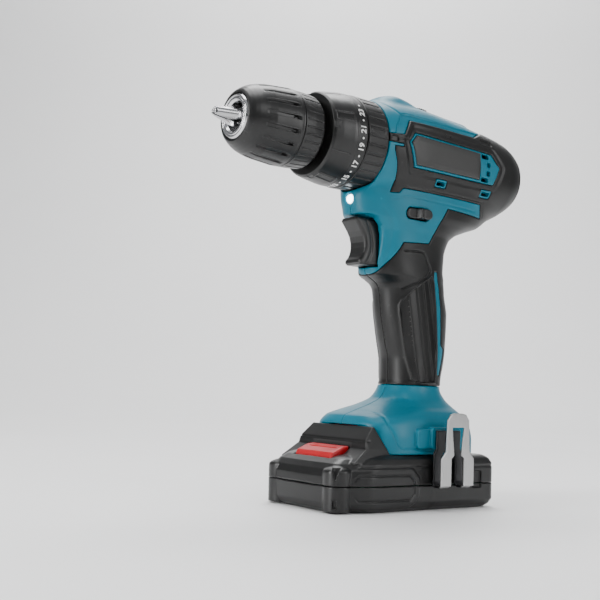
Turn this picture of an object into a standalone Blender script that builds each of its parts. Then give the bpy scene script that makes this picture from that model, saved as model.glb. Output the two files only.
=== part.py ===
"""A cordless drill driver: split housing with soft grips, keyless chuck, two-stage planetary
gearbox, motor, trigger switch, belt clip and a slide-on battery pack.

Everything is modelled in millimetres, and the last lines turn it into metres. The nose points
along -X, the operator's right is +Y, and the origin is the middle of the battery's underside.
"""

import math

import bmesh
import bpy
from mathutils import Matrix, Vector

MM = 0.001  # metres in a millimetre, used only at the end
GAP = 0.3  # left between two pieces that seat on each other

# Driving sizes of the tool
AXIS_Z = 205.2  # height of the spindle's axis
BARREL_HALF = 29.0
BARREL_REAR = 96.0
GRIP_HALF = 17.0
SKIN = 1.5  # thickness of the soft grip and of the side panels
WALL = 2.0  # housing wall behind the soft grip

# Turned parts on the spindle's axis, front to back
JAW_TIP = -123.4
JAW_TIP_RADIUS = 2.2
JAW_ANGLE = math.radians(16.0)
JAW_RADIUS = 3.2
JAW_LENGTH = 36.0
SLEEVE_FRONT = -110.4
SLEEVE_SEAM = -78.7
SLEEVE_RADIUS = 21.2
CHUCK_BODY_RADIUS = 15.5
CHUCK_BODY_REAR = -65.5
NOSE_RING_RADIUS = 12.3
REAR_SLEEVE_END = -64.1
TORQUE_FRONT = -61.4
TORQUE_FRONT_RADIUS = 24.0
TORQUE_RADIUS = 26.4
RING_SEAM = -39.5
MODE_RADIUS = 26.7
MODE_REAR = -24.1
GEAR_CASE_RADIUS = 22.8
GEAR_NOSE_RADIUS = 22.2
SPINDLE_RADIUS = 5.9
BEARING_RADIUS = 12.0

# Planetary gears: both stages share one module and one set of tooth counts
MODULE = 1.0
SUN_TEETH = 12
PLANET_TEETH = 12
RING_TEETH = 36
GEAR_WIDTH = 8.0
PLANET_PIN_RADIUS = 1.8
STAGE_2_FRONT = -16.5
STAGE_1_FRONT = -3.0

# Motor
MOTOR_FRONT = 12.0
MOTOR_LENGTH = 52.0
MOTOR_RADIUS = 17.9
SHAFT_RADIUS = 1.6

# Trigger, direction lever and speed selector
TRIGGER_HALF = 7.8
TRIGGER_TOP = 162.8
TRIGGER_BOTTOM = 135.8
TRIGGER_REAR = -9.0
SWITCH_FRONT = -1.0
LEVER_CENTRE = (6.0, 167.2)
LEVER_SIZE = (18.0, 8.4)
LEVER_PROUD = 3.5
LEVER_REACH = 20.5  # half width of the housing where the lever crosses it
SELECTOR_FRONT = 17.0
SELECTOR_LENGTH = 9.0
SELECTOR_TRAVEL = 7.0

# Battery pack
PACK_FRONT = -59.0
PACK_REAR = 59.0
PACK_HALF = 36.5
PACK_SEAM = 14.0
PACK_TOP = 30.0
PACK_WALL = 2.0
CELL_RADIUS = 9.2
CELL_LENGTH = 65.0
CELL_COUNT = 5
CELL_PITCH = 2 * CELL_RADIUS + 0.8  # the cells stand side by side with a little air
CELL_SHIFT = 4.0  # the row of cells stands behind the chamfered front
NECK_HALF = 20.0
RAIL_HALF = 24.0
RAIL_BOTTOM = 36.2
TOWER_TOP = 42.7
TOWER_REAR = 22.0
LATCH_HALF = 16.0
HOOK_HALF = 11.0

# Belt clip
CLIP_THICKNESS = 1.2
CLIP_INNER_Y = -PACK_HALF - 0.5  # the clip hangs just clear of the pack
CLIP_OUTER_Y = CLIP_INNER_Y - 8.5


# ---- Making meshes ----

for leftover in list(bpy.data.objects):
    bpy.data.objects.remove(leftover)


def empty(name, x, y, z):
    """A parent for the pieces that turn or stand round one point."""
    holder = bpy.data.objects.new(name, None)
    holder.location = (x, y, z)
    bpy.context.scene.collection.objects.link(holder)
    return holder


def mesh_object(name, points, faces, parent=None):
    """A closed mesh, facing outwards."""
    mesh = bpy.data.meshes.new(name)
    mesh.from_pydata([Vector(point) for point in points], [], [list(face) for face in faces])
    shape = bmesh.new()
    shape.from_mesh(mesh)
    bmesh.ops.recalc_face_normals(shape, faces=shape.faces)
    shape.to_mesh(mesh)
    shape.free()
    made = bpy.data.objects.new(name, mesh)
    made.parent = parent
    bpy.context.scene.collection.objects.link(made)
    return made


def loft(name, rings, parent=None):
    """Skins rings of equally many points and closes both ends."""
    count = len(rings[0])
    points = [point for ring in rings for point in ring]
    faces = [range(count), range(len(points) - count, len(points))]
    for start in range(0, len(points) - count, count):
        for i in range(count):
            j = (i + 1) % count
            faces.append((start + i, start + j, start + count + j, start + count + i))
    return mesh_object(name, points, faces, parent)


def prism(name, outline, low, high, axis="Y", parent=None):
    """Extrudes an outline between two planes. The outline is XZ along Y, YZ along X, XY along Z."""
    place = {
        "X": lambda u, v, w: (w, u, v),
        "Y": lambda u, v, w: (u, w, v),
        "Z": lambda u, v, w: (u, v, w),
    }[axis]
    return loft(name, [[place(u, v, w) for u, v in outline] for w in (low, high)], parent)


def turned(name, profile, parent=None, segments=24):
    """Turns (x, radius) points about the X axis. A profile that leaves the axis is closed on itself."""
    points, starts = [], []
    for x, radius in profile:
        starts.append(len(points))
        if radius == 0:
            points.append((x, 0, 0))
            continue
        for i in range(segments):
            angle = math.tau * i / segments
            points.append((x, radius * math.cos(angle), radius * math.sin(angle)))
    pairs = list(zip(range(len(profile)), range(1, len(profile))))
    if profile[0][1] > 0:
        pairs.append((len(profile) - 1, 0))
    faces = []
    for a, b in pairs:
        if profile[a][1] == profile[b][1] == 0:
            continue
        for i in range(segments):
            j = (i + 1) % segments
            ends_a = [starts[a]] if profile[a][1] == 0 else [starts[a] + i, starts[a] + j]
            ends_b = [starts[b]] if profile[b][1] == 0 else [starts[b] + j, starts[b] + i]
            faces.append(ends_a + ends_b)
    return mesh_object(name, points, faces, parent)


def cylinder(name, start, end, radius, segments=16, parent=None):
    """A round bar between two points."""
    start, end = Vector(start), Vector(end)
    turn = (end - start).to_track_quat("Z", "Y")
    rings = []
    for centre in (start, end):
        ring = []
        for i in range(segments):
            angle = math.tau * i / segments
            ring.append(centre + turn @ Vector((radius * math.cos(angle), radius * math.sin(angle), 0)))
        rings.append(ring)
    return loft(name, rings, parent)


def box(name, low, high, parent=None):
    outline = [(low[0], low[1]), (high[0], low[1]), (high[0], high[1]), (low[0], high[1])]
    return prism(name, outline, low[2], high[2], "Z", parent)


def combine(target, tool, operation, solver="EXACT"):
    """Applies one Boolean and removes the tool."""
    modifier = target.modifiers.new(operation, "BOOLEAN")
    modifier.operation = operation
    modifier.solver = solver
    modifier.object = tool
    bpy.context.view_layer.update()
    graph = bpy.context.evaluated_depsgraph_get()
    result = bpy.data.meshes.new_from_object(target.evaluated_get(graph))
    target.modifiers.clear()
    target.data = result
    bpy.data.objects.remove(tool)
    return target


def join(target, *tools):
    for tool in tools:
        combine(target, tool, "UNION")
    return target


def cut(target, *tools, solver="EXACT"):
    for tool in tools:
        combine(target, tool, "DIFFERENCE", solver)
    return target


def keep(target, tool):
    return combine(target, tool, "INTERSECT")


def copy_of(obj, name):
    twin = obj.copy()
    twin.data = obj.data.copy()
    twin.name = name
    bpy.context.scene.collection.objects.link(twin)
    return twin


def mirrored(obj, name):
    """The same shape on the other side of the tool's middle plane."""
    twin = copy_of(obj, name)
    twin.data.transform(Matrix.Scale(-1, 4, (0, 1, 0)))
    twin.data.flip_normals()
    return twin


def round_edges(obj, width, angle):
    """Bevels the edges whose two faces turn by more than angle, in degrees."""
    shape = bmesh.new()
    shape.from_mesh(obj.data)
    edges = [edge for edge in shape.edges if edge.calc_face_angle(0) > math.radians(angle)]
    bmesh.ops.bevel(shape, geom=edges, offset=width, segments=2, profile=0.5, affect="EDGES")
    shape.to_mesh(obj.data)
    shape.free()


def oval(u, v, half_u, half_v, power, count):
    """A superellipse: power 2 is an ellipse, and higher powers have squarer corners."""
    ring = []
    for i in range(count):
        c, s = math.cos(math.tau * i / count), math.sin(math.tau * i / count)
        ring.append((
            u + half_u * math.copysign(abs(c) ** (2 / power), c),
            v + half_v * math.copysign(abs(s) ** (2 / power), s),
        ))
    return ring


def rounded(low_u, low_v, high_u, high_v, radius, steps=3):
    """A rectangle with round corners."""
    ring = []
    corners = (
        (high_u - radius, high_v - radius, 0),
        (low_u + radius, high_v - radius, 1),
        (low_u + radius, low_v + radius, 2),
        (high_u - radius, low_v + radius, 3),
    )
    for u, v, quarter in corners:
        for i in range(steps + 1):
            angle = math.pi / 2 * (quarter + i / steps)
            ring.append((u + radius * math.cos(angle), v + radius * math.sin(angle)))
    return ring


def offset_outline(outline, distance):
    """Moves each side of a counterclockwise outline outwards by distance."""
    moved = []
    for i, here in enumerate(outline):
        before, after = outline[i - 1], outline[(i + 1) % len(outline)]
        here = Vector(here)
        first = (here - Vector(before)).normalized()
        second = (Vector(after) - here).normalized()
        normal = (Vector((first.y, -first.x)) + Vector((second.y, -second.x))).normalized()
        share = max(normal.dot(Vector((first.y, -first.x))), 0.4)
        moved.append(tuple(here + normal * distance / share))
    return moved


materials = {}


def finish(obj, name, colour, roughness, metallic=0.0):
    """Gives a piece its material and smooth shading between sharp edges."""
    if name not in materials:
        material = bpy.data.materials.new(name)
        material.use_nodes = True
        shader = material.node_tree.nodes["Principled BSDF"]
        shader.inputs["Base Color"].default_value = (*colour, 1)
        shader.inputs["Roughness"].default_value = roughness
        shader.inputs["Metallic"].default_value = metallic
        materials[name] = material
    obj.data.materials.clear()
    obj.data.materials.append(materials[name])
    obj.data.shade_smooth()
    obj.data.set_sharp_from_angle(angle=math.radians(35))
    return obj


def teal(obj):
    return finish(obj, "teal_plastic", (0.0, 0.19, 0.27), 0.35)


def soft(obj):
    return finish(obj, "soft_grip", (0.02, 0.018, 0.016), 0.6)


def black(obj):
    return finish(obj, "black_plastic", (0.017, 0.017, 0.018), 0.4)


def red(obj):
    return finish(obj, "red_plastic", (0.6, 0.02, 0.03), 0.35)


def steel(obj):
    return finish(obj, "steel", (0.55, 0.55, 0.55), 0.3, 1.0)


def chrome(obj):
    return finish(obj, "polished_steel", (0.75, 0.75, 0.76), 0.12, 1.0)


def brass(obj):
    return finish(obj, "brass", (0.6, 0.45, 0.2), 0.35, 1.0)


def grey(obj):
    return finish(obj, "grey_nylon", (0.12, 0.12, 0.13), 0.5)


def clear(obj):
    return finish(obj, "clear_lens", (0.85, 0.9, 0.95), 0.1)


def green(obj):
    return finish(obj, "circuit_board", (0.01, 0.12, 0.04), 0.5)


def cell_wrap(obj):
    return finish(obj, "cell_wrap", (0.03, 0.2, 0.5), 0.4)


# ---- Housing ----
# Barrel sections along X: x, half width, top, bottom, power
BARREL = [
    (-23.8, 26.9, AXIS_Z + 26.9, AXIS_Z - 26.9, 2.0),
    (-12.0, BARREL_HALF - 0.8, AXIS_Z + 28.4, AXIS_Z - 28.0, 2.2),
    (8.0, BARREL_HALF, AXIS_Z + 29.0, AXIS_Z - 29.0, 2.4),
    (BARREL_REAR - 34, BARREL_HALF, AXIS_Z + 27.8, AXIS_Z - 28.4, 2.4),
    (BARREL_REAR - 18, BARREL_HALF - 0.6, AXIS_Z + 26.8, AXIS_Z - 27.2, 2.4),
    (BARREL_REAR - 8, BARREL_HALF - 3.2, AXIS_Z + 24.3, AXIS_Z - 23.6, 2.3),
    (BARREL_REAR - 2.5, BARREL_HALF - 8.0, AXIS_Z + 18.8, AXIS_Z - 18.0, 2.2),
    (BARREL_REAR, BARREL_HALF - 15.0, AXIS_Z + 12.0, AXIS_Z - 11.5, 2.1),
]
# Ridge along the top: x, top, half width
RIDGE = [
    (-20.5, 227.5, 9.0),
    (-12.0, 237.2, 13.0),
    (-4.0, 239.1, 14.0),
    (4.0, 239.5, 14.0),
    (14.0, 237.9, 13.5),
    (26.0, 237.0, 13.0),
    (43.0, 236.2, 13.0),
    (52.0, 236.9, 12.5),
    (65.0, 231.8, 11.0),
    (76.0, 229.0, 9.0),
]
# Handle and foot sections along Z: z, front, rear, half width, power
FOOT_BOTTOM = PACK_TOP + GAP
FOOT_HALF = 33.0
HANDLE = [
    (192.0, -23.0, 80.0, 21.0, 2.8),
    (182.0, -28.5, 84.0, 22.5, 2.8),
    (176.0, -30.2, 79.0, 22.3, 2.7),
    (170.0, -28.5, 71.0, 21.5, 2.6),
    (164.0, -24.5, 58.0, 20.3, 2.6),
    (157.0, -19.5, 49.0, 18.8, 2.5),
    (146.0, -18.0, 43.8, GRIP_HALF + 0.6, 2.5),
    (136.0, -18.0, 42.6, GRIP_HALF, 2.4),
    (131.0, -17.0, 42.5, GRIP_HALF, 2.3),
    (128.0, -9.0, 42.5, GRIP_HALF, 2.2),
    (124.0, -5.0, 42.6, GRIP_HALF, 2.2),
    (111.0, -2.6, 45.2, GRIP_HALF, 2.2),
    (95.0, 1.1, 44.3, GRIP_HALF, 2.2),
    (83.0, 4.2, 42.6, GRIP_HALF, 2.2),
    (72.0, 4.6, 40.0, GRIP_HALF, 2.2),
    (67.0, 3.0, 39.6, GRIP_HALF + 0.6, 2.2),
    (61.0, -2.5, 42.5, GRIP_HALF + 3.0, 2.3),
    (56.5, -10.0, 47.0, GRIP_HALF + 7.0, 2.5),
    (52.5, -17.0, 49.5, FOOT_HALF - 5.0, 2.8),
    (48.8, -25.0, 51.2, FOOT_HALF - 2.3, 3.3),
    (45.6, -28.6, 52.0, FOOT_HALF - 1.0, 4.0),
    (38.0, -28.6, 52.0, FOOT_HALF, 4.5),
    (FOOT_BOTTOM, -28.6, 52.0, FOOT_HALF, 4.5),
]
FOOT_FLOOR = 45.6  # top of the floor above the battery's rails


def body_shape(inset, open_front=False, floor=None, points=20):
    """The outer form of the whole housing, drawn in by inset on every side."""
    sections = list(BARREL)
    if open_front:
        sections.insert(0, (-40.0,) + BARREL[0][1:])
    rings = []
    for x, half, top, bottom, power in sections:
        share = 1.0 if x > 0 else 0.0
        ring = oval(0, (top + bottom) / 2, half - inset, (top - bottom) / 2 - inset, power, points)
        rings.append([(x - inset * share, y, z) for y, z in ring])
    barrel = loft("body", rings)
    ridge_base = AXIS_Z + 12
    rings = []
    for x, top, half in RIDGE:
        height = (top - inset - ridge_base) / 2
        rings.append([(x, y, z) for y, z in oval(0, ridge_base + height, half - inset, height, 3.4, 12)])
    ridge = loft("ridge", rings)
    sections = [row for row in HANDLE if floor is None or row[0] > floor + 1]
    if floor is not None:
        sections.append((floor,) + HANDLE[-4][1:])
    rings = []
    for z, front, rear, half, power in sections:
        ring = oval((front + rear) / 2, 0, (rear - front) / 2 - inset, half - inset, power, points)
        rings.append([(x, y, z) for x, y in ring])
    handle = loft("handle", rings)
    return join(barrel, ridge, handle)


# Outlines in side view, all counterclockwise
SOFT_OUTLINE = [
    (-11.5, 217.5), (-14.0, 208.8), (-24.0, 207.2), (-22.3, 203.8), (-13.0, 201.8),
    (-20.5, 199.5), (-19.0, 184.0), (-24.0, 175.0), (-16.0, 175.5), (-11.0, 181.5),
    (50.0, 179.0), (56.0, 173.3), (30.0, 174.0), (14.5, 149.0), (-6.5, 148.0),
    (-11.5, 138.7), (-20.0, 130.2), (-40.0, 128.8), (-40.0, 68.5), (112.0, 68.5),
    (112.0, 245.0), (84.0, 245.0), (73.0, 233.0), (43.0, 217.8),
]
FRAME_OUTLINE = [
    (-9.3, 205.3), (-7.0, 191.8), (58.3, 191.0), (65.0, 202.0), (57.6, 210.7), (-6.1, 211.2),
]
PANEL_OUTLINE = [(-7.7, 205.0), (-5.6, 193.4), (47.6, 192.7), (47.6, 209.2), (-5.2, 209.6)]
WINDOWS = [(15.3, 185.6), (52.0, 184.8)]
WINDOW_SIZE = (6.5, 4.2)
VENTS = [(53.2, 208.2), (56.4, 203.6), (55.4, 198.4), (51.9, 193.9)]
VENT_RADIUS = 1.5
# Screws: x, z, and how far the boss reaches sideways
SCREWS = [
    (-15.5, 171.5, 18.0),
    (33.0, 160.0, 15.5),
    (80.0, 192.0, 22.0),
    (74.0, 222.0, 16.0),
    (22.0, 88.0, 13.5),
]
SCREW_SEAT = 8.0
SCREW_HEAD_RADIUS = 3.0
SCREW_HEAD_HEIGHT = 2.4
SCREW_SHANK_RADIUS = 1.4
SCREW_LENGTH = 16.0
BOSS_RADIUS = 4.8

# The slot that the battery's rails slide in, and the trigger's opening
RAIL_CLEARANCE = 0.5
SLOT_REAR = TOWER_REAR + 14.0
NOSE_BACK = [(-28.3, 45.5), (-20.4, FOOT_BOTTOM - 0.1)]  # line between the battery's nose and the foot


def tee_outline(grow, bottom):
    """The section across the battery's rails: a neck with a wider head."""
    neck, head = NECK_HALF + grow, RAIL_HALF + grow
    step, top = RAIL_BOTTOM - grow, TOWER_TOP + grow
    return [(-neck, bottom), (neck, bottom), (neck, step), (head, step), (head, top), (-head, top),
            (-head, step), (-neck, step)]


def side_prism(name, outline, grow=0.0):
    """An outline pushed through the left half. A cutter, which is grown, crosses the middle plane."""
    return prism(name, offset_outline(outline, grow), -60, 0.5 if grow > 0 else -GAP / 2)


def soft_region(grow):
    """The region that the soft grip covers on the left, less its windows and side frame."""
    region = side_prism("region", SOFT_OUTLINE, grow)
    width, height = WINDOW_SIZE
    holes = [FRAME_OUTLINE]
    holes += [rounded(x - width / 2, z - height / 2, x + width / 2, z + height / 2, 1) for x, z in WINDOWS]
    for outline in holes:
        cut(region, prism("hole", offset_outline(outline, -grow), -61, -5))
    return region


outer = body_shape(0)
skin_back = body_shape(SKIN)
recess_floor = body_shape(SKIN + GAP)
hollow = body_shape(SKIN + GAP + WALL, open_front=True, floor=FOOT_FLOOR, points=12)

housing = copy_of(outer, "housing")
cut(housing, hollow)
for x, z, reach in SCREWS:
    join(housing, cylinder("boss", (x, -reach, z), (x, reach, z), BOSS_RADIUS, 12))
# The belt clip's pad on the left of the foot
CLIP_CENTRE_X = 17.0
CLIP_SCREW_Z = 39.6
pad = prism("pad", rounded(CLIP_CENTRE_X - 11.5, 33.6, CLIP_CENTRE_X + 11.5, 45.4, 2.5),
            CLIP_INNER_Y + GAP, -30.5)
join(housing, pad)

# Room for the rings in front of the barrel, and the gear case's seat behind them
CASE_SEAT = GEAR_CASE_RADIUS + GAP
rings_room = turned("rings_room", [(-60, 0), (-60, 27.2), (-23.9, 27.2), (-23.9, CASE_SEAT),
                                   (MOTOR_FRONT, CASE_SEAT), (MOTOR_FRONT, 0)])
rings_room.location.z = AXIS_Z
cut(housing, rings_room)
# The battery's nose, rails and latch hook slide in from the front
nose_cut = [(-60, 20), (NOSE_BACK[1][0], 20), NOSE_BACK[1], NOSE_BACK[0], (-60, NOSE_BACK[0][1])]
cut(housing, prism("nose_cut", nose_cut, -50, 50))
cut(housing, prism("rail_slot", tee_outline(RAIL_CLEARANCE, 20), -50, SLOT_REAR, "X"))
cut(housing, box("hook_way", (-49, -HOOK_HALF - 1, 40), (-21.5, HOOK_HALF + 1, 45.2)))
TERMINAL_BOX = ((TOWER_REAR + 2.5, -13.0, 37.5), (SLOT_REAR - 0.5, 13.0, 49.0))
cut(housing, box("terminal_window", (TERMINAL_BOX[0][0] - GAP, TERMINAL_BOX[0][1] - GAP, 40),
                 (TERMINAL_BOX[1][0] + GAP, TERMINAL_BOX[1][1] + GAP, FOOT_FLOOR + 1.2)))
# Openings for the trigger, the direction lever, the speed selector and the work light
cut(housing, box("trigger_slot", (-50, -TRIGGER_HALF - 0.4, TRIGGER_BOTTOM - 0.5),
                 (-10, TRIGGER_HALF + 0.4, TRIGGER_TOP + 0.5)))
lever_outline = rounded(
    LEVER_CENTRE[0] - LEVER_SIZE[0] / 2, LEVER_CENTRE[1] - LEVER_SIZE[1] / 2,
    LEVER_CENTRE[0] + LEVER_SIZE[0] / 2, LEVER_CENTRE[1] + LEVER_SIZE[1] / 2, LEVER_SIZE[1] * 0.45,
)
cut(housing, prism("lever_slot", offset_outline(lever_outline, GAP), -40, 40))
cut(housing, box("selector_slot", (SELECTOR_FRONT - 1, -5.4, 225),
                 (SELECTOR_FRONT + SELECTOR_LENGTH + SELECTOR_TRAVEL + 1, 5.4, 250)))
LED_Z = 173.6
LED_RADIUS = 3.0
cut(housing, cylinder("light_hole", (-40, 0, LED_Z), (-22, 0, LED_Z), LED_RADIUS + GAP))
for x, z in VENTS:
    cut(housing, cylinder("vent", (x, -40, z), (x, 40, z), VENT_RADIUS, 8))

# One half, its recesses for the soft grip and the side panel, and its mirror image.
# The exact solver leaves out the long cut down the middle, so the halves are cut with the other one.
HALVES = "MANIFOLD"
housing_left = housing
housing_left.name = "housing_left"
cut(housing_left, box("right_side", (-200, -GAP / 2, -10), (200, 100, 300)), solver=HALVES)
cut(housing_left, cut(soft_region(GAP / 2), recess_floor), solver=HALVES)
panel_recess = side_prism("panel_recess", PANEL_OUTLINE, GAP / 2)
cut(housing_left, cut(panel_recess, body_shape(SKIN + GAP)), solver=HALVES)
housing_right = mirrored(housing_left, "housing_right")
no_pad = box("no_pad", (CLIP_CENTRE_X - 20, FOOT_HALF - 0.4, 30), (CLIP_CENTRE_X + 20, PACK_HALF + 10, 50))
cut(housing_right, no_pad, solver=HALVES)

# Screw holes
for x, z, reach in SCREWS:
    recess = cylinder("recess", (x, SCREW_SEAT, z), (x, 50, z), SCREW_HEAD_RADIUS + GAP, 12)
    bore = cylinder("bore", (x, -1, z), (x, 20, z), SCREW_SHANK_RADIUS + GAP, 8)
    pilot_end = SCREW_SEAT + GAP - SCREW_LENGTH - 1
    pilot = cylinder("pilot", (x, pilot_end, z), (x, 1, z), SCREW_SHANK_RADIUS + GAP, 8)
    cut(housing_right, recess, bore, solver=HALVES)
    cut(housing_left, pilot, solver=HALVES)
clip_pilot = (
    (CLIP_CENTRE_X, CLIP_INNER_Y - 13, CLIP_SCREW_Z),
    (CLIP_CENTRE_X, CLIP_INNER_Y + 7.5, CLIP_SCREW_Z),
)
cut(housing_left, cylinder("clip_pilot", *clip_pilot, SCREW_SHANK_RADIUS + GAP, 8), solver=HALVES)
teal(housing_left)
teal(housing_right)

# ---- Soft grips, side panels and work light ----
rubber_grip_left = copy_of(outer, "rubber_grip_left")
cut(rubber_grip_left, skin_back)
keep(rubber_grip_left, soft_region(-GAP / 2))
# The grip's corner under the trigger stays clear of the trigger's sides
cut(rubber_grip_left, box("trigger_room", (-50, -TRIGGER_HALF - GAP, TRIGGER_BOTTOM - GAP),
                          (-10, TRIGGER_HALF + GAP, TRIGGER_TOP)))
rubber_grip_right = mirrored(rubber_grip_left, "rubber_grip_right")
for x, z, reach in SCREWS:
    cut(rubber_grip_right, cylinder("recess", (x, 2, z), (x, 50, z), SCREW_HEAD_RADIUS + GAP, 12))
soft(rubber_grip_left)
soft(rubber_grip_right)

side_panel_left = keep(outer, side_prism("panel", PANEL_OUTLINE, -GAP / 2))
side_panel_left.name = "side_panel_left"
cut(side_panel_left, body_shape(SKIN))
side_panel_right = mirrored(side_panel_left, "side_panel_right")
black(side_panel_left)
black(side_panel_right)

led_lens = turned("led_lens", [
    (-31.0, 0), (-30.2, 2.0), (-28.5, LED_RADIUS), (-24.0, LED_RADIUS), (-24.0, 0),
], segments=16)
led_lens.location.z = LED_Z
clear(led_lens)

for number, (x, z, reach) in enumerate(SCREWS, 1):
    seat = SCREW_SEAT + GAP
    screw = turned(f"housing_screw_{number}", [
        (0, 0), (0, SCREW_SHANK_RADIUS), (SCREW_LENGTH, SCREW_SHANK_RADIUS),
        (SCREW_LENGTH, SCREW_HEAD_RADIUS), (SCREW_LENGTH + SCREW_HEAD_HEIGHT, SCREW_HEAD_RADIUS * 0.8),
        (SCREW_LENGTH + SCREW_HEAD_HEIGHT, 0),
    ], segments=12)
    screw.rotation_euler.z = math.radians(90)
    screw.location = (x, seat - SCREW_LENGTH, z)
    steel(screw)

# ---- Chuck ----
drive_axis = empty("drive_axis", 0, 0, AXIS_Z)
SLOPE = math.tan(JAW_ANGLE)


def jaw_outer(x):
    """How far the jaws reach from the axis at x, in every position of the jaws."""
    return JAW_TIP_RADIUS + SLOPE * (x - JAW_TIP)


def jaw_bar(name, radius, start, length, segments=12):
    """A round bar along the first jaw's own axis, starting at start along X."""
    height = jaw_outer(start) - JAW_RADIUS / math.cos(JAW_ANGLE)
    first = Vector((start, 0, height))
    along = Vector((math.cos(JAW_ANGLE), 0, math.sin(JAW_ANGLE)))
    return cylinder(name, first, first + along * length, radius, segments, drive_axis)


NUT_FRONT, NUT_REAR = -97.0, -89.6
BORE_RADIUS = 5.3
WEB_FRONT, WEB_REAR = -88.0, -84.0
chuck_body = turned("chuck_body", [
    (SLEEVE_FRONT + 0.6, 8.0), (SLEEVE_FRONT - 0.6, 8.8), (SLEEVE_FRONT - 0.6, NOSE_RING_RADIUS - 1.2),
    (SLEEVE_FRONT + 0.6, NOSE_RING_RADIUS), (SLEEVE_FRONT + 9, NOSE_RING_RADIUS),
    (NUT_FRONT - GAP, 13.2), (NUT_FRONT - GAP, jaw_outer(NUT_FRONT) - GAP),
    (NUT_REAR + GAP, jaw_outer(NUT_REAR) - GAP), (NUT_REAR + GAP, CHUCK_BODY_RADIUS),
    (CHUCK_BODY_REAR, CHUCK_BODY_RADIUS), (CHUCK_BODY_REAR, SPINDLE_RADIUS + GAP),
    (WEB_REAR, SPINDLE_RADIUS + GAP), (WEB_REAR, 2.4), (WEB_FRONT, 2.4), (WEB_FRONT, BORE_RADIUS),
    (SLEEVE_FRONT + 6, BORE_RADIUS), (SLEEVE_FRONT + 6, 8.0),
], drive_axis, 20)
JAW_TURNS = [math.radians(angle) for angle in (90, 210, 330)]
for turn in JAW_TURNS:
    bore = jaw_bar("jaw_bore", JAW_RADIUS + 0.25, JAW_TIP, JAW_LENGTH + 20)
    bore.data.transform(Matrix.Rotation(turn, 4, "X"))
    cut(chuck_body, bore)
chrome(chuck_body)

jaw_shape = jaw_bar("jaw_shape", JAW_RADIUS, JAW_TIP - 3, JAW_LENGTH + 3)
wedge = prism("wedge", [(0, 0.35), (20, 0.35 + 20 * math.tan(math.radians(30))), (20, 40), (-20, 40),
                        (-20, 0.35 + 20 * math.tan(math.radians(30)))], JAW_TIP, -40, "X", drive_axis)
keep(jaw_shape, wedge)
for number, turn in enumerate(JAW_TURNS, 1):
    jaw = copy_of(jaw_shape, f"jaw_{number}")
    jaw.rotation_euler.x = turn
    chrome(jaw)
bpy.data.objects.remove(jaw_shape)

SLEEVE_INNER = CHUCK_BODY_RADIUS + 2.0
chuck_sleeve = turned("chuck_sleeve", [
    (SLEEVE_FRONT, NOSE_RING_RADIUS + GAP), (SLEEVE_FRONT, 13.2), (SLEEVE_FRONT + 1.2, 14.6),
    (SLEEVE_FRONT + 5, 17.2), (SLEEVE_FRONT + 9, 19.0), (SLEEVE_FRONT + 14, 20.0),
    (SLEEVE_SEAM - 4, SLEEVE_RADIUS), (SLEEVE_SEAM - 0.2, SLEEVE_RADIUS),
    (SLEEVE_SEAM - 0.2, SLEEVE_INNER), (NUT_FRONT - 1, SLEEVE_INNER), (NUT_FRONT - 1, 13.5),
    (SLEEVE_FRONT + 9, NOSE_RING_RADIUS + GAP),
], drive_axis, 24)
SLEEVE_SLOTS = 10
for i in range(SLEEVE_SLOTS):
    slot = box("slot", (SLEEVE_FRONT + 13, -1.0, 19.6), (SLEEVE_SEAM - 3, 1.0, 30), drive_axis)
    slot.data.transform(Matrix.Rotation(math.tau * (i + 0.5) / SLEEVE_SLOTS, 4, "X"))
    cut(chuck_sleeve, slot)
black(chuck_sleeve)

chuck_nut = turned("chuck_nut", [
    (NUT_FRONT, jaw_outer(NUT_FRONT) + GAP), (NUT_FRONT, SLEEVE_INNER - GAP),
    (NUT_REAR, SLEEVE_INNER - GAP), (NUT_REAR, jaw_outer(NUT_REAR) + GAP),
], drive_axis)
steel(chuck_nut)

chuck_rear_sleeve = turned("chuck_rear_sleeve", [
    (SLEEVE_SEAM + 0.2, SLEEVE_INNER), (SLEEVE_SEAM + 0.2, SLEEVE_RADIUS - 0.1),
    (REAR_SLEEVE_END - 2, SLEEVE_RADIUS - 0.6), (REAR_SLEEVE_END, SLEEVE_RADIUS - 2.2),
    (REAR_SLEEVE_END, CHUCK_BODY_RADIUS + GAP), (REAR_SLEEVE_END - 4, CHUCK_BODY_RADIUS + GAP),
    (REAR_SLEEVE_END - 4, SLEEVE_INNER),
], drive_axis, 24)
black(chuck_rear_sleeve)

chuck_screw = turned("chuck_screw", [
    (WEB_FRONT - 3.3, 0), (WEB_FRONT - 3.3, 3.4), (WEB_FRONT - GAP, 3.8), (WEB_FRONT - GAP, 2.1),
    (WEB_REAR + 8, 2.1), (WEB_REAR + 8, 0),
], drive_axis, 16)
steel(chuck_screw)


# ---- Gears ----
def gear_outline(teeth, root, tip, share, phase):
    """Straight-sided teeth. share is the tooth's width at the pitch circle, as a part of the pitch."""
    pitch = math.tau / teeth
    outline = []
    for i in range(teeth):
        middle = i * pitch + phase
        tooth = ((root, share * 0.7), (tip, share * 0.3), (tip, -share * 0.3), (root, -share * 0.7))
        for radius, half in tooth:
            angle = middle - half * pitch
            outline.append((radius * math.cos(angle), radius * math.sin(angle)))
    return outline


PLANET_DISTANCE = MODULE * (SUN_TEETH + PLANET_TEETH) / 2
ADDENDUM, DEDENDUM = 0.75 * MODULE, 1.15 * MODULE
TOOTH_SHARE = 0.42
HALF_PLANET_TOOTH = math.pi / PLANET_TEETH
PLANET_PLACES = [math.tau * i / 3 for i in range(3)]
RING_OUTER = GEAR_CASE_RADIUS - 1.5 - GAP


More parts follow.
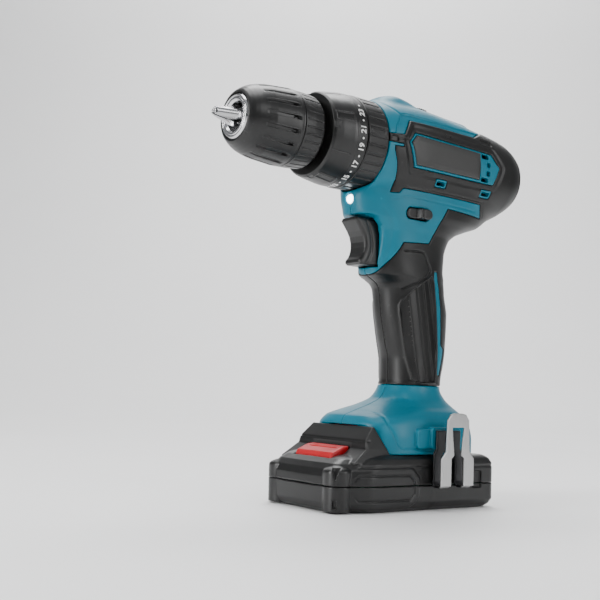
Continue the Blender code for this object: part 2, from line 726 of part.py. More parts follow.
def external_gear(name, teeth, front, length, bore, phase):
    pitch_radius = MODULE * teeth / 2
    outline = gear_outline(teeth, pitch_radius - DEDENDUM, pitch_radius + ADDENDUM, TOOTH_SHARE, phase)
    gear = prism(name, outline, front, front + length, "X", drive_axis)
    if bore:
        cut(gear, cylinder("gear_bore", (front - 1, 0, 0), (front + length + 1, 0, 0), bore, 12, drive_axis))
    return gear


def ring_gear(name, front):
    """The tool leaves inward teeth: its own teeth are the spaces between them."""
    pitch_radius = MODULE * RING_TEETH / 2
    ring = turned(name, [(front, 0), (front, RING_OUTER), (front + GEAR_WIDTH + 1, RING_OUTER),
                         (front + GEAR_WIDTH + 1, 0)], drive_axis)
    outline = gear_outline(RING_TEETH, pitch_radius - ADDENDUM, pitch_radius + DEDENDUM,
                           1 - TOOTH_SHARE, math.pi / RING_TEETH)
    return cut(ring, prism("teeth", outline, front - 1, front + GEAR_WIDTH + 2, "X", drive_axis))


def planets(stage, front):
    for letter, angle in zip("abc", PLANET_PLACES):
        planet = external_gear(f"planet_{stage}_{letter}", PLANET_TEETH, front, GEAR_WIDTH,
                               PLANET_PIN_RADIUS + 0.1, HALF_PLANET_TOOTH)
        planet.rotation_euler.x = angle
        planet.location = Vector((0, math.cos(angle), math.sin(angle))) * PLANET_DISTANCE
        steel(planet)


def carrier_pins(carrier, start, end):
    for angle in PLANET_PLACES:
        y, z = PLANET_DISTANCE * math.cos(angle), PLANET_DISTANCE * math.sin(angle)
        join(carrier, cylinder("pin", (start, y, z), (end, y, z), PLANET_PIN_RADIUS, 12, drive_axis))


CARRIER_RADIUS = 16.4
steel(ring_gear("ring_gear_2", STAGE_2_FRONT - 0.5))
steel(ring_gear("ring_gear_1", STAGE_1_FRONT - 0.5))
planets(2, STAGE_2_FRONT)
planets(1, STAGE_1_FRONT)

# The output spindle carries the second stage's planets on its rear plate
spindle = turned("spindle", [
    (WEB_REAR + GAP, 2.4), (WEB_REAR + GAP, SPINDLE_RADIUS), (STAGE_2_FRONT - 4, SPINDLE_RADIUS),
    (STAGE_2_FRONT - 4, CARRIER_RADIUS), (STAGE_2_FRONT - 0.5, CARRIER_RADIUS), (STAGE_2_FRONT - 0.5, 0),
    (WEB_REAR + 12, 0), (WEB_REAR + 12, 2.4),
], drive_axis)
carrier_pins(spindle, STAGE_2_FRONT - 2, STAGE_2_FRONT + GEAR_WIDTH + GAP)
steel(spindle)

CARRIER_1_FRONT = STAGE_1_FRONT - 4.0
carrier_1 = turned("carrier_1", [
    (CARRIER_1_FRONT, 0), (CARRIER_1_FRONT, CARRIER_RADIUS), (STAGE_1_FRONT - 0.5, CARRIER_RADIUS),
    (STAGE_1_FRONT - 0.5, 0),
], drive_axis)
carrier_pins(carrier_1, CARRIER_1_FRONT + 1, STAGE_1_FRONT + GEAR_WIDTH + GAP)
join(carrier_1, external_gear("sun_2", SUN_TEETH, STAGE_2_FRONT, CARRIER_1_FRONT + 1 - STAGE_2_FRONT, 0, 0))
steel(carrier_1)

# ---- Gear case, clutch and rings ----
CASE_REAR = MOTOR_FRONT - 2.2
CASE_STEP = MODE_REAR + 1.5
CLUTCH_SEAT = -41.5
NOSE_FRONT = -57.0
BEARING_LENGTH = 8.0
gear_case = turned("gear_case", [
    (NOSE_FRONT, BEARING_RADIUS + GAP), (NOSE_FRONT, 14.2), (CLUTCH_SEAT, 14.2),
    (CLUTCH_SEAT, GEAR_NOSE_RADIUS), (CASE_STEP, GEAR_NOSE_RADIUS), (CASE_STEP, GEAR_CASE_RADIUS),
    (CASE_REAR, GEAR_CASE_RADIUS), (CASE_REAR, RING_OUTER + GAP), (STAGE_2_FRONT - 5, RING_OUTER + GAP),
    (STAGE_2_FRONT - 5, 18.5), (CLUTCH_SEAT + 2.5, 18.5), (CLUTCH_SEAT + 2.5, SPINDLE_RADIUS + 1.5),
    (NOSE_FRONT + BEARING_LENGTH + GAP, SPINDLE_RADIUS + 1.5),
    (NOSE_FRONT + BEARING_LENGTH + GAP, BEARING_RADIUS + GAP),
], drive_axis)
grey(gear_case)

spindle_bearing = turned("spindle_bearing", [
    (NOSE_FRONT, SPINDLE_RADIUS + 0.1), (NOSE_FRONT, BEARING_RADIUS),
    (NOSE_FRONT + BEARING_LENGTH, BEARING_RADIUS), (NOSE_FRONT + BEARING_LENGTH, SPINDLE_RADIUS + 0.1),
], drive_axis, 24)
steel(spindle_bearing)

RING_INNER = GEAR_NOSE_RADIUS + GAP
torque_ring = turned("torque_ring", [
    (TORQUE_FRONT, 13.5), (TORQUE_FRONT, TORQUE_FRONT_RADIUS - 1.2),
    (TORQUE_FRONT + 1.2, TORQUE_FRONT_RADIUS), (TORQUE_FRONT + 10, TORQUE_RADIUS - 0.8),
    (RING_SEAM - 6, TORQUE_RADIUS), (RING_SEAM - 0.2, TORQUE_RADIUS), (RING_SEAM - 0.2, RING_INNER),
    (TORQUE_FRONT + 3, RING_INNER), (TORQUE_FRONT + 3, 13.5),
], drive_axis, 32)
black(torque_ring)

mode_ring = turned("mode_ring", [
    (RING_SEAM + 0.2, RING_INNER), (RING_SEAM + 0.2, MODE_RADIUS - 0.6), (RING_SEAM + 0.8, MODE_RADIUS),
    (MODE_REAR - 0.8, MODE_RADIUS), (MODE_REAR, MODE_RADIUS - 0.8), (MODE_REAR, RING_INNER),
], drive_axis, 32)
MODE_GROOVES = 12
for i in range(MODE_GROOVES):
    groove = box("groove", (RING_SEAM + 3, -1.2, MODE_RADIUS - 0.9), (MODE_REAR - 2, 1.2, 40), drive_axis)
    groove.data.transform(Matrix.Rotation(math.tau * i / MODE_GROOVES, 4, "X"))
    cut(mode_ring, groove)
black(mode_ring)

clutch_plate = turned("clutch_plate", [
    (CLUTCH_SEAT - 2.0, 14.2 + GAP), (CLUTCH_SEAT - 2.0, 21.5),
    (CLUTCH_SEAT - GAP, 21.5), (CLUTCH_SEAT - GAP, 14.2 + GAP),
], drive_axis)
steel(clutch_plate)


def coil(name, centre_at, frame_at, turns, wire, per_turn=12, sides=5, parent=None):
    """A spring: centre_at(angle) is the wire's middle, frame_at(angle) its outward and axial ways."""
    rings = []
    count = int(turns * per_turn)
    for i in range(count + 1):
        angle = math.tau * i / per_turn
        middle = Vector(centre_at(angle))
        out, along = frame_at(angle)
        ring = []
        for k in range(sides):
            part = math.tau * k / sides
            ring.append(middle + wire / 2 * (math.cos(part) * Vector(out) + math.sin(part) * Vector(along)))
        rings.append(ring)
    return loft(name, rings, parent)


SPRING_FRONT, SPRING_REAR = TORQUE_FRONT + 4.6, CLUTCH_SEAT - 3.4
SPRING_TURNS, SPRING_RADIUS, SPRING_WIRE = 4, 17.8, 2.2
clutch_spring = coil(
    "clutch_spring",
    lambda a: (SPRING_FRONT + (SPRING_REAR - SPRING_FRONT) * a / (math.tau * SPRING_TURNS),
               SPRING_RADIUS * math.cos(a), SPRING_RADIUS * math.sin(a)),
    lambda a: ((0, math.cos(a), math.sin(a)), (1, 0, 0)),
    SPRING_TURNS, SPRING_WIRE, parent=drive_axis,
)
steel(clutch_spring)

# ---- Motor ----
motor_plate = turned("motor_plate", [
    (CASE_REAR + GAP, 7.0), (CASE_REAR + GAP, GEAR_CASE_RADIUS), (MOTOR_FRONT - GAP, GEAR_CASE_RADIUS),
    (MOTOR_FRONT - GAP, 7.0),
], drive_axis)
steel(motor_plate)

MOTOR_REAR = MOTOR_FRONT + MOTOR_LENGTH
motor_can = turned("motor_can", [
    (MOTOR_FRONT, SHAFT_RADIUS + 0.4), (MOTOR_FRONT, MOTOR_RADIUS), (MOTOR_REAR - 6, MOTOR_RADIUS),
    (MOTOR_REAR - 6, MOTOR_RADIUS - 1.5), (MOTOR_FRONT + 1.5, MOTOR_RADIUS - 1.5),
    (MOTOR_FRONT + 1.5, SHAFT_RADIUS + 0.4),
], drive_axis)
steel(motor_can)

motor_end_cap = turned("motor_end_cap", [
    (MOTOR_REAR - 6 + GAP, MOTOR_RADIUS - 2.2), (MOTOR_REAR - 6 + GAP, MOTOR_RADIUS),
    (MOTOR_REAR, MOTOR_RADIUS - 0.6), (MOTOR_REAR, 6.0), (MOTOR_REAR + 2.4, 5.2),
    (MOTOR_REAR + 2.4, SHAFT_RADIUS + 0.4), (MOTOR_REAR - 2, SHAFT_RADIUS + 0.4),
    (MOTOR_REAR - 2, MOTOR_RADIUS - 2.2),
], drive_axis)
black(motor_end_cap)

rotor = turned("rotor", [
    (STAGE_1_FRONT, 0), (STAGE_1_FRONT, SHAFT_RADIUS), (MOTOR_FRONT + 6, SHAFT_RADIUS),
    (MOTOR_FRONT + 6, 12.0), (MOTOR_FRONT + 32, 12.0), (MOTOR_FRONT + 32, 5.0),
    (MOTOR_FRONT + 42, 5.0), (MOTOR_FRONT + 42, SHAFT_RADIUS), (MOTOR_REAR + 1.5, SHAFT_RADIUS),
    (MOTOR_REAR + 1.5, 0),
], drive_axis, 20)
brass(rotor)
motor_pinion = external_gear("motor_pinion", SUN_TEETH, STAGE_1_FRONT, GEAR_WIDTH + 1, SHAFT_RADIUS + 0.05, 0)
steel(motor_pinion)

FAN_FRONT = MOTOR_FRONT + 2.2
FAN_BLADES = 8
motor_fan = turned("motor_fan", [
    (FAN_FRONT, SHAFT_RADIUS + GAP), (FAN_FRONT, 4.5), (FAN_FRONT + 2.0, 4.5), (FAN_FRONT + 2.0, 14.5),
    (FAN_FRONT + 3.2, 14.5), (FAN_FRONT + 3.2, SHAFT_RADIUS + GAP),
], drive_axis, 24)
for i in range(FAN_BLADES):
    blade = box("blade", (FAN_FRONT + 0.2, -0.6, 4.0), (FAN_FRONT + 2.6, 0.6, 14.0), drive_axis)
    blade.data.transform(Matrix.Rotation(math.tau * i / FAN_BLADES, 4, "X"))
    join(motor_fan, blade)
black(motor_fan)

# ---- Trigger, switch, direction lever and speed selector ----
TRIGGER_OUTLINE = [
    (TRIGGER_REAR, TRIGGER_TOP - 1.5), (-14.0, TRIGGER_TOP), (-29.5, TRIGGER_TOP), (-30.5, 161.0),
    (-28.0, 157.5), (-25.2, 153.0), (-24.0, 148.5), (-24.4, 144.5), (-26.2, 141.0), (-29.0, 138.6),
    (-29.2, 136.8), (-27.6, TRIGGER_BOTTOM), (TRIGGER_REAR, TRIGGER_BOTTOM),
]
trigger = prism("trigger", TRIGGER_OUTLINE, -TRIGGER_HALF, TRIGGER_HALF)
round_edges(trigger, 1.2, 60)
STEM_RADIUS = 2.2
STEM_Z = 149.0
stem = cylinder("stem", (TRIGGER_REAR - 1, 0, STEM_Z), (8, 0, STEM_Z), STEM_RADIUS, 12)
join(trigger, stem)
black(trigger)

switch_body = box("switch_body", (SWITCH_FRONT, -9, 137.5), (24, 9, 161.5))
plunger_hole = ((SWITCH_FRONT - 1, 0, STEM_Z), (17, 0, STEM_Z))
cut(switch_body, cylinder("plunger_hole", *plunger_hole, STEM_RADIUS + 0.4, 12))
black(switch_body)

direction_lever = prism("direction_lever", lever_outline, -LEVER_REACH - LEVER_PROUD, LEVER_REACH - 2.5)
black(direction_lever)

speed_selector = box("speed_selector", (SELECTOR_FRONT, -5.0, 231.0),
                     (SELECTOR_FRONT + SELECTOR_LENGTH, 5.0, 238.6))
join(speed_selector, box("selector_plate", (SELECTOR_FRONT - 4, -6.2, 229.6),
                         (SELECTOR_FRONT + SELECTOR_LENGTH + 4, 6.2, 231.8)))
black(speed_selector)

terminal_block = box("terminal_block", *TERMINAL_BOX)
black(terminal_block)


# ---- Battery pack ----
def pack_ring(z, front, rear, half, corner):
    """One level of the pack: chamfered at the front, round at the rear."""
    ring = [
        (front, half - corner), (front, -half + corner), (front + corner, -half + corner * 0.25),
        (front + corner * 1.5, -half),
    ]
    for i in range(4):
        angle = math.pi / 2 * i / 3
        ring.append((rear - 6 + 6 * math.sin(angle), -half + 6 - 6 * math.cos(angle)))
    ring += [(x, -y) for x, y in reversed(ring[2:])]
    return [(x, y, z) for x, y in ring]


CORNER = 10.0
battery_lower_case = loft("battery_lower_case", [
    pack_ring(0, PACK_FRONT + 5, PACK_REAR - 4, PACK_HALF - 4, CORNER),
    pack_ring(2.0, PACK_FRONT + 2.0, PACK_REAR - 1.4, PACK_HALF - 1.4, CORNER),
    pack_ring(5.0, PACK_FRONT + 0.6, PACK_REAR, PACK_HALF, CORNER),
    pack_ring(PACK_SEAM, PACK_FRONT, PACK_REAR, PACK_HALF, CORNER),
])
inner_front, inner_rear, inner_half = PACK_FRONT + PACK_WALL + 1, PACK_REAR - PACK_WALL, PACK_HALF - PACK_WALL
cut(battery_lower_case, loft("lower_hollow", [
    pack_ring(PACK_WALL, inner_front + 4, inner_rear - 2, inner_half - 1.5, CORNER),
    pack_ring(5.0, inner_front, inner_rear, inner_half, CORNER),
    pack_ring(PACK_SEAM + 5, inner_front, inner_rear, inner_half, CORNER),
]))
black(battery_lower_case)

SHOULDER = 24.5
upper_low = PACK_SEAM + GAP
battery_upper_case = loft("battery_upper_case", [
    pack_ring(upper_low, PACK_FRONT, PACK_REAR, PACK_HALF, CORNER),
    pack_ring(SHOULDER, PACK_FRONT + 1, PACK_REAR, PACK_HALF, CORNER),
    pack_ring(27.5, PACK_FRONT + 8, PACK_REAR - 1, PACK_HALF - 1, CORNER),
    pack_ring(PACK_TOP, PACK_FRONT + 14, PACK_REAR - 3.5, PACK_HALF - 3.5, CORNER),
])
nose_rings = [
    (26.0, -47.0, -17.9, 32.0), (33.4, -36.6, -21.9, 30.0), (37.6, -36.2, -24.1, 28.5),
    (45.0, -29.2, -28.1, 26.0),
]
nose = []
for z, front, rear, half in nose_rings:
    nose.append([(x, y, z) for x, y in rounded(front, -half, rear - GAP, half, 0.5, 1)])
join(battery_upper_case, loft("nose", nose))
join(battery_upper_case, prism("tower", tee_outline(0, 29.0), -24, TOWER_REAR, "X"))
cut(battery_upper_case, loft("upper_hollow", [
    pack_ring(upper_low - 5, inner_front, inner_rear, inner_half, CORNER),
    pack_ring(SHOULDER - 1, inner_front + 1, inner_rear, inner_half, CORNER),
    pack_ring(PACK_TOP - PACK_WALL, PACK_FRONT + 19, PACK_REAR - 5, PACK_HALF - 5, CORNER),
]))
cut(battery_upper_case, box("tower_hollow", (-20, -NECK_HALF + PACK_WALL, 25),
                            (TOWER_REAR - PACK_WALL, NECK_HALF - PACK_WALL, TOWER_TOP - PACK_WALL)))
# Room for the latch: its button, its arm and its hook
cut(battery_upper_case, box("button_room", (-50, -LATCH_HALF - 0.5, 20), (-36.4, LATCH_HALF + 0.5, 36)))
cut(battery_upper_case, box("arm_room", (-38, -HOOK_HALF - 0.5, 20), (-23.2, HOOK_HALF + 0.5, 32)))
cut(battery_upper_case, box("hook_room", (-28.6, -HOOK_HALF - 0.5, 20), (-23.2, HOOK_HALF + 0.5, 50)))
black(battery_upper_case)

LATCH_BOTTOM = 26.5
BUTTON_OUTLINE = [(-37.0, LATCH_BOTTOM), (-37.0, 34.0), (-41.0, 33.6), (-48.0, 30.6), (-49.3, 28.6),
                  (-49.3, LATCH_BOTTOM)]
battery_latch = prism("battery_latch", list(reversed(BUTTON_OUTLINE)), -LATCH_HALF, LATCH_HALF)
join(battery_latch, box("arm", (-40, -HOOK_HALF, LATCH_BOTTOM), (-24, HOOK_HALF, 29.5)))
join(battery_latch, prism("hook", [(-28, 27), (-24, 27), (-24, 45.0), (-28, 43.0)], -HOOK_HALF, HOOK_HALF))
red(battery_latch)

CELL_Z = PACK_WALL + GAP + CELL_RADIUS
for number in range(CELL_COUNT):
    x = (number - (CELL_COUNT - 1) / 2) * CELL_PITCH + CELL_SHIFT
    cell = cylinder(f"battery_cell_{number + 1}", (x, -CELL_LENGTH / 2, CELL_Z), (x, CELL_LENGTH / 2, CELL_Z),
                    CELL_RADIUS, 16)
    cell_wrap(cell)

CELL_TOP = CELL_Z + CELL_RADIUS + GAP
BOARD_THICKNESS = 1.6
battery_board = box("battery_board", (-20, -28, CELL_TOP), (50, 28, CELL_TOP + BOARD_THICKNESS))
green(battery_board)

# The latch's spring stands on the foremost cell, under the latch's arm
FIRST_CELL_X = CELL_SHIFT - (CELL_COUNT - 1) / 2 * CELL_PITCH
LATCH_SPRING_TURNS, LATCH_SPRING_RADIUS, LATCH_SPRING_WIRE = 2, 3.0, 0.8
spring_low = CELL_TOP + LATCH_SPRING_WIRE / 2
spring_high = LATCH_BOTTOM - GAP - LATCH_SPRING_WIRE / 2
latch_spring = coil(
    "latch_spring",
    lambda a: (FIRST_CELL_X + LATCH_SPRING_RADIUS * math.cos(a), LATCH_SPRING_RADIUS * math.sin(a),
               spring_low + (spring_high - spring_low) * a / (math.tau * LATCH_SPRING_TURNS)),
    lambda a: ((math.cos(a), math.sin(a), 0), (0, 0, 1)),
    LATCH_SPRING_TURNS, LATCH_SPRING_WIRE,
)
steel(latch_spring)

# ---- Belt clip ----
# Two legs fold under and up to a plate that is screwed to the foot
CLIP_BOTTOM = 12.8
CLIP_TOP = 54.0
outer_outline = [
    (4.0, CLIP_BOTTOM + 1), (12.2, CLIP_BOTTOM + 1), (12.2, 29.0), (14.3, 30.5), (12.4, 45.8), (21.6, 45.8),
    (19.7, 30.5), (21.8, 29.0), (21.8, CLIP_BOTTOM + 1), (30.0, CLIP_BOTTOM + 1), (30.0, 29.0), (26.4, 33.0),
    (25.6, 50.0), (23.0, 53.4), (20.0, CLIP_TOP), (14.0, CLIP_TOP), (11.0, 53.4), (8.4, 50.0), (7.6, 33.0),
    (4.0, 29.0),
]
belt_clip = prism("belt_clip", outer_outline, CLIP_OUTER_Y, CLIP_OUTER_Y + CLIP_THICKNESS)
inner_outline = [
    (5.6, CLIP_BOTTOM + 1), (11.4, CLIP_BOTTOM + 1), (11.4, 29.0), (13.0, 31.5), (21.0, 31.5), (22.6, 29.0),
    (22.6, CLIP_BOTTOM + 1), (28.4, CLIP_BOTTOM + 1), (28.4, 31.0), (26.5, 34.0), (26.5, 44.0), (7.5, 44.0),
    (7.5, 34.0), (5.6, 31.0),
]
join(belt_clip, prism("inner_plate", inner_outline, CLIP_INNER_Y - CLIP_THICKNESS, CLIP_INNER_Y))
for low_x, high_x in ((5.6, 11.4), (22.6, 28.4)):
    bend = [
        (CLIP_OUTER_Y, CLIP_BOTTOM + 3), (CLIP_OUTER_Y, CLIP_BOTTOM + 2), (CLIP_OUTER_Y + 2, CLIP_BOTTOM),
        (CLIP_INNER_Y - 2, CLIP_BOTTOM), (CLIP_INNER_Y, CLIP_BOTTOM + 2), (CLIP_INNER_Y, CLIP_BOTTOM + 3),
        (CLIP_INNER_Y - CLIP_THICKNESS, CLIP_BOTTOM + 3), (CLIP_INNER_Y - 2.4, CLIP_BOTTOM + CLIP_THICKNESS),
        (CLIP_OUTER_Y + 2.4, CLIP_BOTTOM + CLIP_THICKNESS), (CLIP_OUTER_Y + CLIP_THICKNESS, CLIP_BOTTOM + 3),
    ]
    join(belt_clip, prism("bend", bend, low_x, high_x, "X"))
screw_hole = (
    (CLIP_CENTRE_X, CLIP_INNER_Y - 5, CLIP_SCREW_Z),
    (CLIP_CENTRE_X, CLIP_INNER_Y + 7, CLIP_SCREW_Z),
)
cut(belt_clip, cylinder("screw_hole", *screw_hole, SCREW_SHANK_RADIUS + GAP, 12))
steel(belt_clip)

HEAD_SEAT = CLIP_INNER_Y - CLIP_THICKNESS - GAP
CLIP_SCREW_HEAD = 1.0
clip_screw = turned("clip_screw", [
    (0, 0), (0, 2.2), (0.5, 2.8), (CLIP_SCREW_HEAD, 2.8), (CLIP_SCREW_HEAD, SCREW_SHANK_RADIUS),
    (8.0, SCREW_SHANK_RADIUS), (8.0, 0),
], segments=12)
clip_screw.rotation_euler.z = math.radians(90)
clip_screw.location = (CLIP_CENTRE_X, HEAD_SEAT - CLIP_SCREW_HEAD, CLIP_SCREW_Z)
steel(clip_screw)

# ---- From millimetres to metres ----
for obj in bpy.context.scene.objects:
    obj.location *= MM
    if obj.type == "MESH":
        obj.data.transform(Matrix.Scale(MM, 4))
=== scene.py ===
import math
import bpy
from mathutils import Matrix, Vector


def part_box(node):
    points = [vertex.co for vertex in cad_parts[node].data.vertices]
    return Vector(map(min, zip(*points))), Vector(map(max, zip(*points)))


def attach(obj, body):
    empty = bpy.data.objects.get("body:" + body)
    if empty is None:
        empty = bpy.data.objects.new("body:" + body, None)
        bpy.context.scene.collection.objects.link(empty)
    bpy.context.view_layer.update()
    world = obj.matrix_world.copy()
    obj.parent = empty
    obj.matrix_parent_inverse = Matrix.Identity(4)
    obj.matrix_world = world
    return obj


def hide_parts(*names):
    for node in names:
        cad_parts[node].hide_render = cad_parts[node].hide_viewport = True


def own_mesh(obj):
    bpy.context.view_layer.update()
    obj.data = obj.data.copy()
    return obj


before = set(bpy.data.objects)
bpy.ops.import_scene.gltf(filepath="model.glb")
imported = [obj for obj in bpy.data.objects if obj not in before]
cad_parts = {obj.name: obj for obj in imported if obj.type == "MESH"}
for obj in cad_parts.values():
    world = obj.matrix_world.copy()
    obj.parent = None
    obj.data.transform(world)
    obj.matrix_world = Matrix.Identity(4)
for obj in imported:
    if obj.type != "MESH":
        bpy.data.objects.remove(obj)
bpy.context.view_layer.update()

from concurrent.futures import ThreadPoolExecutor

import bmesh
import bpy
import numpy as np
from mathutils import Matrix, Vector


# ---- The works: motor, gears, bearing and springs ----
# Turned, hobbed and wound metal that sits inside the housing, on the spindle's axis.
# The frame's own solids stay and only get their metal, which shows through the openings.

def group(name, inputs, outputs):
    """An empty shader node group with named sockets. Returns the group and its two end nodes."""
    tree = bpy.data.node_groups.new(name, "ShaderNodeTree")
    for label, kind, value in inputs:
        socket = tree.interface.new_socket(label, in_out="INPUT", socket_type="NodeSocket" + kind)
        socket.default_value = value
    for label, kind in outputs:
        tree.interface.new_socket(label, in_out="OUTPUT", socket_type="NodeSocket" + kind)
    return tree, tree.nodes.new("NodeGroupInput"), tree.nodes.new("NodeGroupOutput")


def wire(tree, *runs):
    """Joins sockets. Each run is a node and its output, then the next node and its input."""
    for start, out, end, into in runs:
        tree.links.new(start.outputs[out], end.inputs[into])


def ranged(nodes, start=0.0, end=1.0, low=0.0, high=1.0):
    """A node that carries start to end over to low to high."""
    node = nodes.new("ShaderNodeMapRange")
    for label, value in zip(("From Min", "From Max", "To Min", "To Max"), (start, end, low, high)):
        node.inputs[label].default_value = value
    return node


def mixed(nodes, first=None, second=None):
    """A node that mixes two colours, in its sockets 6 and 7."""
    node = nodes.new("ShaderNodeMix")
    node.data_type = "RGBA"
    for number, colour in ((6, first), (7, second)):
        if colour:
            node.inputs[number].default_value = (*colour, 1)
    return node


def noise_of_size(tree, given, detail, roughness=0.5):
    """Noise in the piece's own place, whose grains have the size that the group is given."""
    place, scale = tree.nodes.new("ShaderNodeTexCoord"), tree.nodes.new("ShaderNodeMath")
    scale.operation = "DIVIDE"
    scale.inputs[0].default_value = 1.0
    noise = tree.nodes.new("ShaderNodeTexNoise")
    noise.inputs["Detail"].default_value = detail
    noise.inputs["Roughness"].default_value = roughness
    wire(tree, (given, "Size", scale, 1), (scale, 0, noise, "Scale"), (place, "Object", noise, "Vector"))
    return noise


def grain_group():
    """Fine moulded or blasted texture: a bump whose grains have a size and a depth, in metres."""
    tree, given, made = group("fine_grain", [("Size", "Float", 0.0004), ("Depth", "Float", 0.00001)],
                              [("Normal", "Vector")])
    noise = noise_of_size(tree, given, 2.0)
    bump = tree.nodes.new("ShaderNodeBump")
    wire(tree, (noise, 0, bump, "Height"), (given, "Depth", bump, "Distance"), (bump, "Normal", made, "Normal"))
    return tree


def tone_group():
    """Slow drift of colour and gloss over a surface, with paler edges: a painted edge highlight, with a little wear.
    """
    tree, given, made = group("tone_drift", [
        ("Colour", "Color", (0.5, 0.5, 0.5, 1)), ("Shade", "Color", (0.4, 0.4, 0.4, 1)),
        ("Edge", "Color", (0.6, 0.6, 0.6, 1)), ("Size", "Float", 0.03), ("Wear", "Float", 0.3),
        ("Gloss low", "Float", 0.3), ("Gloss high", "Float", 0.4),
    ], [("Colour", "Color"), ("Roughness", "Float")])
    nodes = tree.nodes
    drift = noise_of_size(tree, given, 5.0, 0.6)
    spread, tint = ranged(nodes, 0.35, 0.65), mixed(nodes)
    wire(tree, (drift, 0, spread, "Value"), (spread, 0, tint, "Factor"),
         (given, "Colour", tint, 6), (given, "Shade", tint, 7))
    # painted highlight: sharp edges, found by pointiness, are mixed toward the paler Edge colour, with a little wear
    shape, edge, amount = nodes.new("ShaderNodeNewGeometry"), ranged(nodes, 0.53, 0.62), nodes.new("ShaderNodeMath")
    amount.operation = "MULTIPLY"
    wear_and_painted_highlight, gloss = mixed(nodes), ranged(nodes)
    wire(tree, (shape, "Pointiness", edge, "Value"), (edge, 0, amount, 0), (given, "Wear", amount, 1),
         (amount, 0, wear_and_painted_highlight, "Factor"), (tint, 2, wear_and_painted_highlight, 6), (given, "Edge", wear_and_painted_highlight, 7), (wear_and_painted_highlight, 2, made, "Colour"))
    wire(tree, (spread, 0, gloss, "Value"), (given, "Gloss low", gloss, "To Min"),
         (given, "Gloss high", gloss, "To Max"), (gloss, 0, made, "Roughness"))
    return tree


def brushed_group():
    """Fine lines left by turning or rolling: long along two axes and tight along the third."""
    tree, given, made = group("brushed_lines", [("Stretch", "Vector", (1, 1, 1)), ("Depth", "Float", 0.000004)],
                              [("Mask", "Float"), ("Normal", "Vector")])
    nodes = tree.nodes
    place, longer = nodes.new("ShaderNodeTexCoord"), nodes.new("ShaderNodeVectorMath")
    longer.operation = "MULTIPLY"
    noise, bump = nodes.new("ShaderNodeTexNoise"), nodes.new("ShaderNodeBump")
    noise.inputs["Scale"].default_value = 1.0
    noise.inputs["Detail"].default_value = 3.0
    wire(tree, (place, "Object", longer, 0), (given, "Stretch", longer, 1), (longer, 0, noise, "Vector"),
         (noise, 0, bump, "Height"), (given, "Depth", bump, "Distance"), (noise, 0, made, "Mask"),
         (bump, "Normal", made, "Normal"))
    return tree


FINE_GRAIN, TONE_DRIFT, BRUSHED_LINES = grain_group(), tone_group(), brushed_group()


def placed(nodes, tree, **values):
    """One use of a node group, with its own values."""
    node = nodes.new("ShaderNodeGroup")
    node.node_tree = tree
    for label, value in values.items():
        socket = node.inputs[label.replace("_", " ")]
        socket.default_value = (*value, 1) if socket.type == "RGBA" else value
    return node


def blank(name):
    """A new material, with its node tree and its shader."""
    material = bpy.data.materials.new(name)
    material.use_nodes = True
    return material, material.node_tree, material.node_tree.nodes["Principled BSDF"]


def finish_of(name, colour, shade, edge, gloss, size=0.03, edge_wear_and_painted_highlight=0.25, grain=0.0005, depth=0.00001, metal=0.0,
              shine=0.5):
    """A moulded or machined finish: drifting tone, paler edges (a painted edge highlight with a little wear) and fine
    grain.
    """
    material, tree, shader = blank(name)
    shader.inputs["Metallic"].default_value = metal
    shader.inputs["Specular IOR Level"].default_value = shine
    tone = placed(tree.nodes, TONE_DRIFT, Colour=colour, Shade=shade, Edge=edge, Size=size, Wear=edge_wear_and_painted_highlight,
                  Gloss_low=gloss[0], Gloss_high=gloss[1])
    texture = placed(tree.nodes, FINE_GRAIN, Size=grain, Depth=depth)
    wire(tree, (tone, "Colour", shader, "Base Color"), (tone, "Roughness", shader, "Roughness"),
         (texture, "Normal", shader, "Normal"))
    return material


def brushed_metal(name, dark, light, gloss, stretch, depth=0.000004):
    """Rolled, ground or turned metal, whose lines run round or along the piece."""
    material, tree, shader = blank(name)
    shader.inputs["Metallic"].default_value = 1.0
    lines = placed(tree.nodes, BRUSHED_LINES, Stretch=stretch, Depth=depth)
    colour, rough = mixed(tree.nodes, dark, light), ranged(tree.nodes, low=gloss[0], high=gloss[1])
    wire(tree, (lines, "Mask", colour, "Factor"), (lines, "Mask", rough, "Value"), (colour, 2, shader, "Base Color"),
         (rough, 0, shader, "Roughness"), (lines, "Normal", shader, "Normal"))
    return material


def cover(node, material):
    """Gives a solid of the frame its material."""
    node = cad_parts[node]
    node.data.materials.clear()
    node.data.materials.append(material)


turned_steel = brushed_metal("turned_steel", (0.35, 0.35, 0.36), (0.58, 0.58, 0.59), (0.22, 0.4), (2500, 60, 60))
spring_steel = brushed_metal("spring_steel", (0.2, 0.2, 0.21), (0.36, 0.36, 0.37), (0.25, 0.4), (900, 900, 900))
windings = finish_of("copper_windings", (0.5, 0.2, 0.08), (0.36, 0.14, 0.05), (0.7, 0.35, 0.15), (0.3, 0.5),
                     size=0.004, metal=0.8)
nylon = finish_of("glass_filled_nylon", (0.10, 0.10, 0.11), (0.07, 0.07, 0.075), (0.16, 0.16, 0.17), (0.45, 0.6))
wrap = finish_of("cell_wrap", (0.05, 0.22, 0.12), (0.04, 0.18, 0.10), (0.1, 0.3, 0.2), (0.35, 0.5))
board = finish_of("circuit_board", (0.02, 0.12, 0.05), (0.015, 0.09, 0.04), (0.1, 0.2, 0.1), (0.4, 0.6), size=0.004)
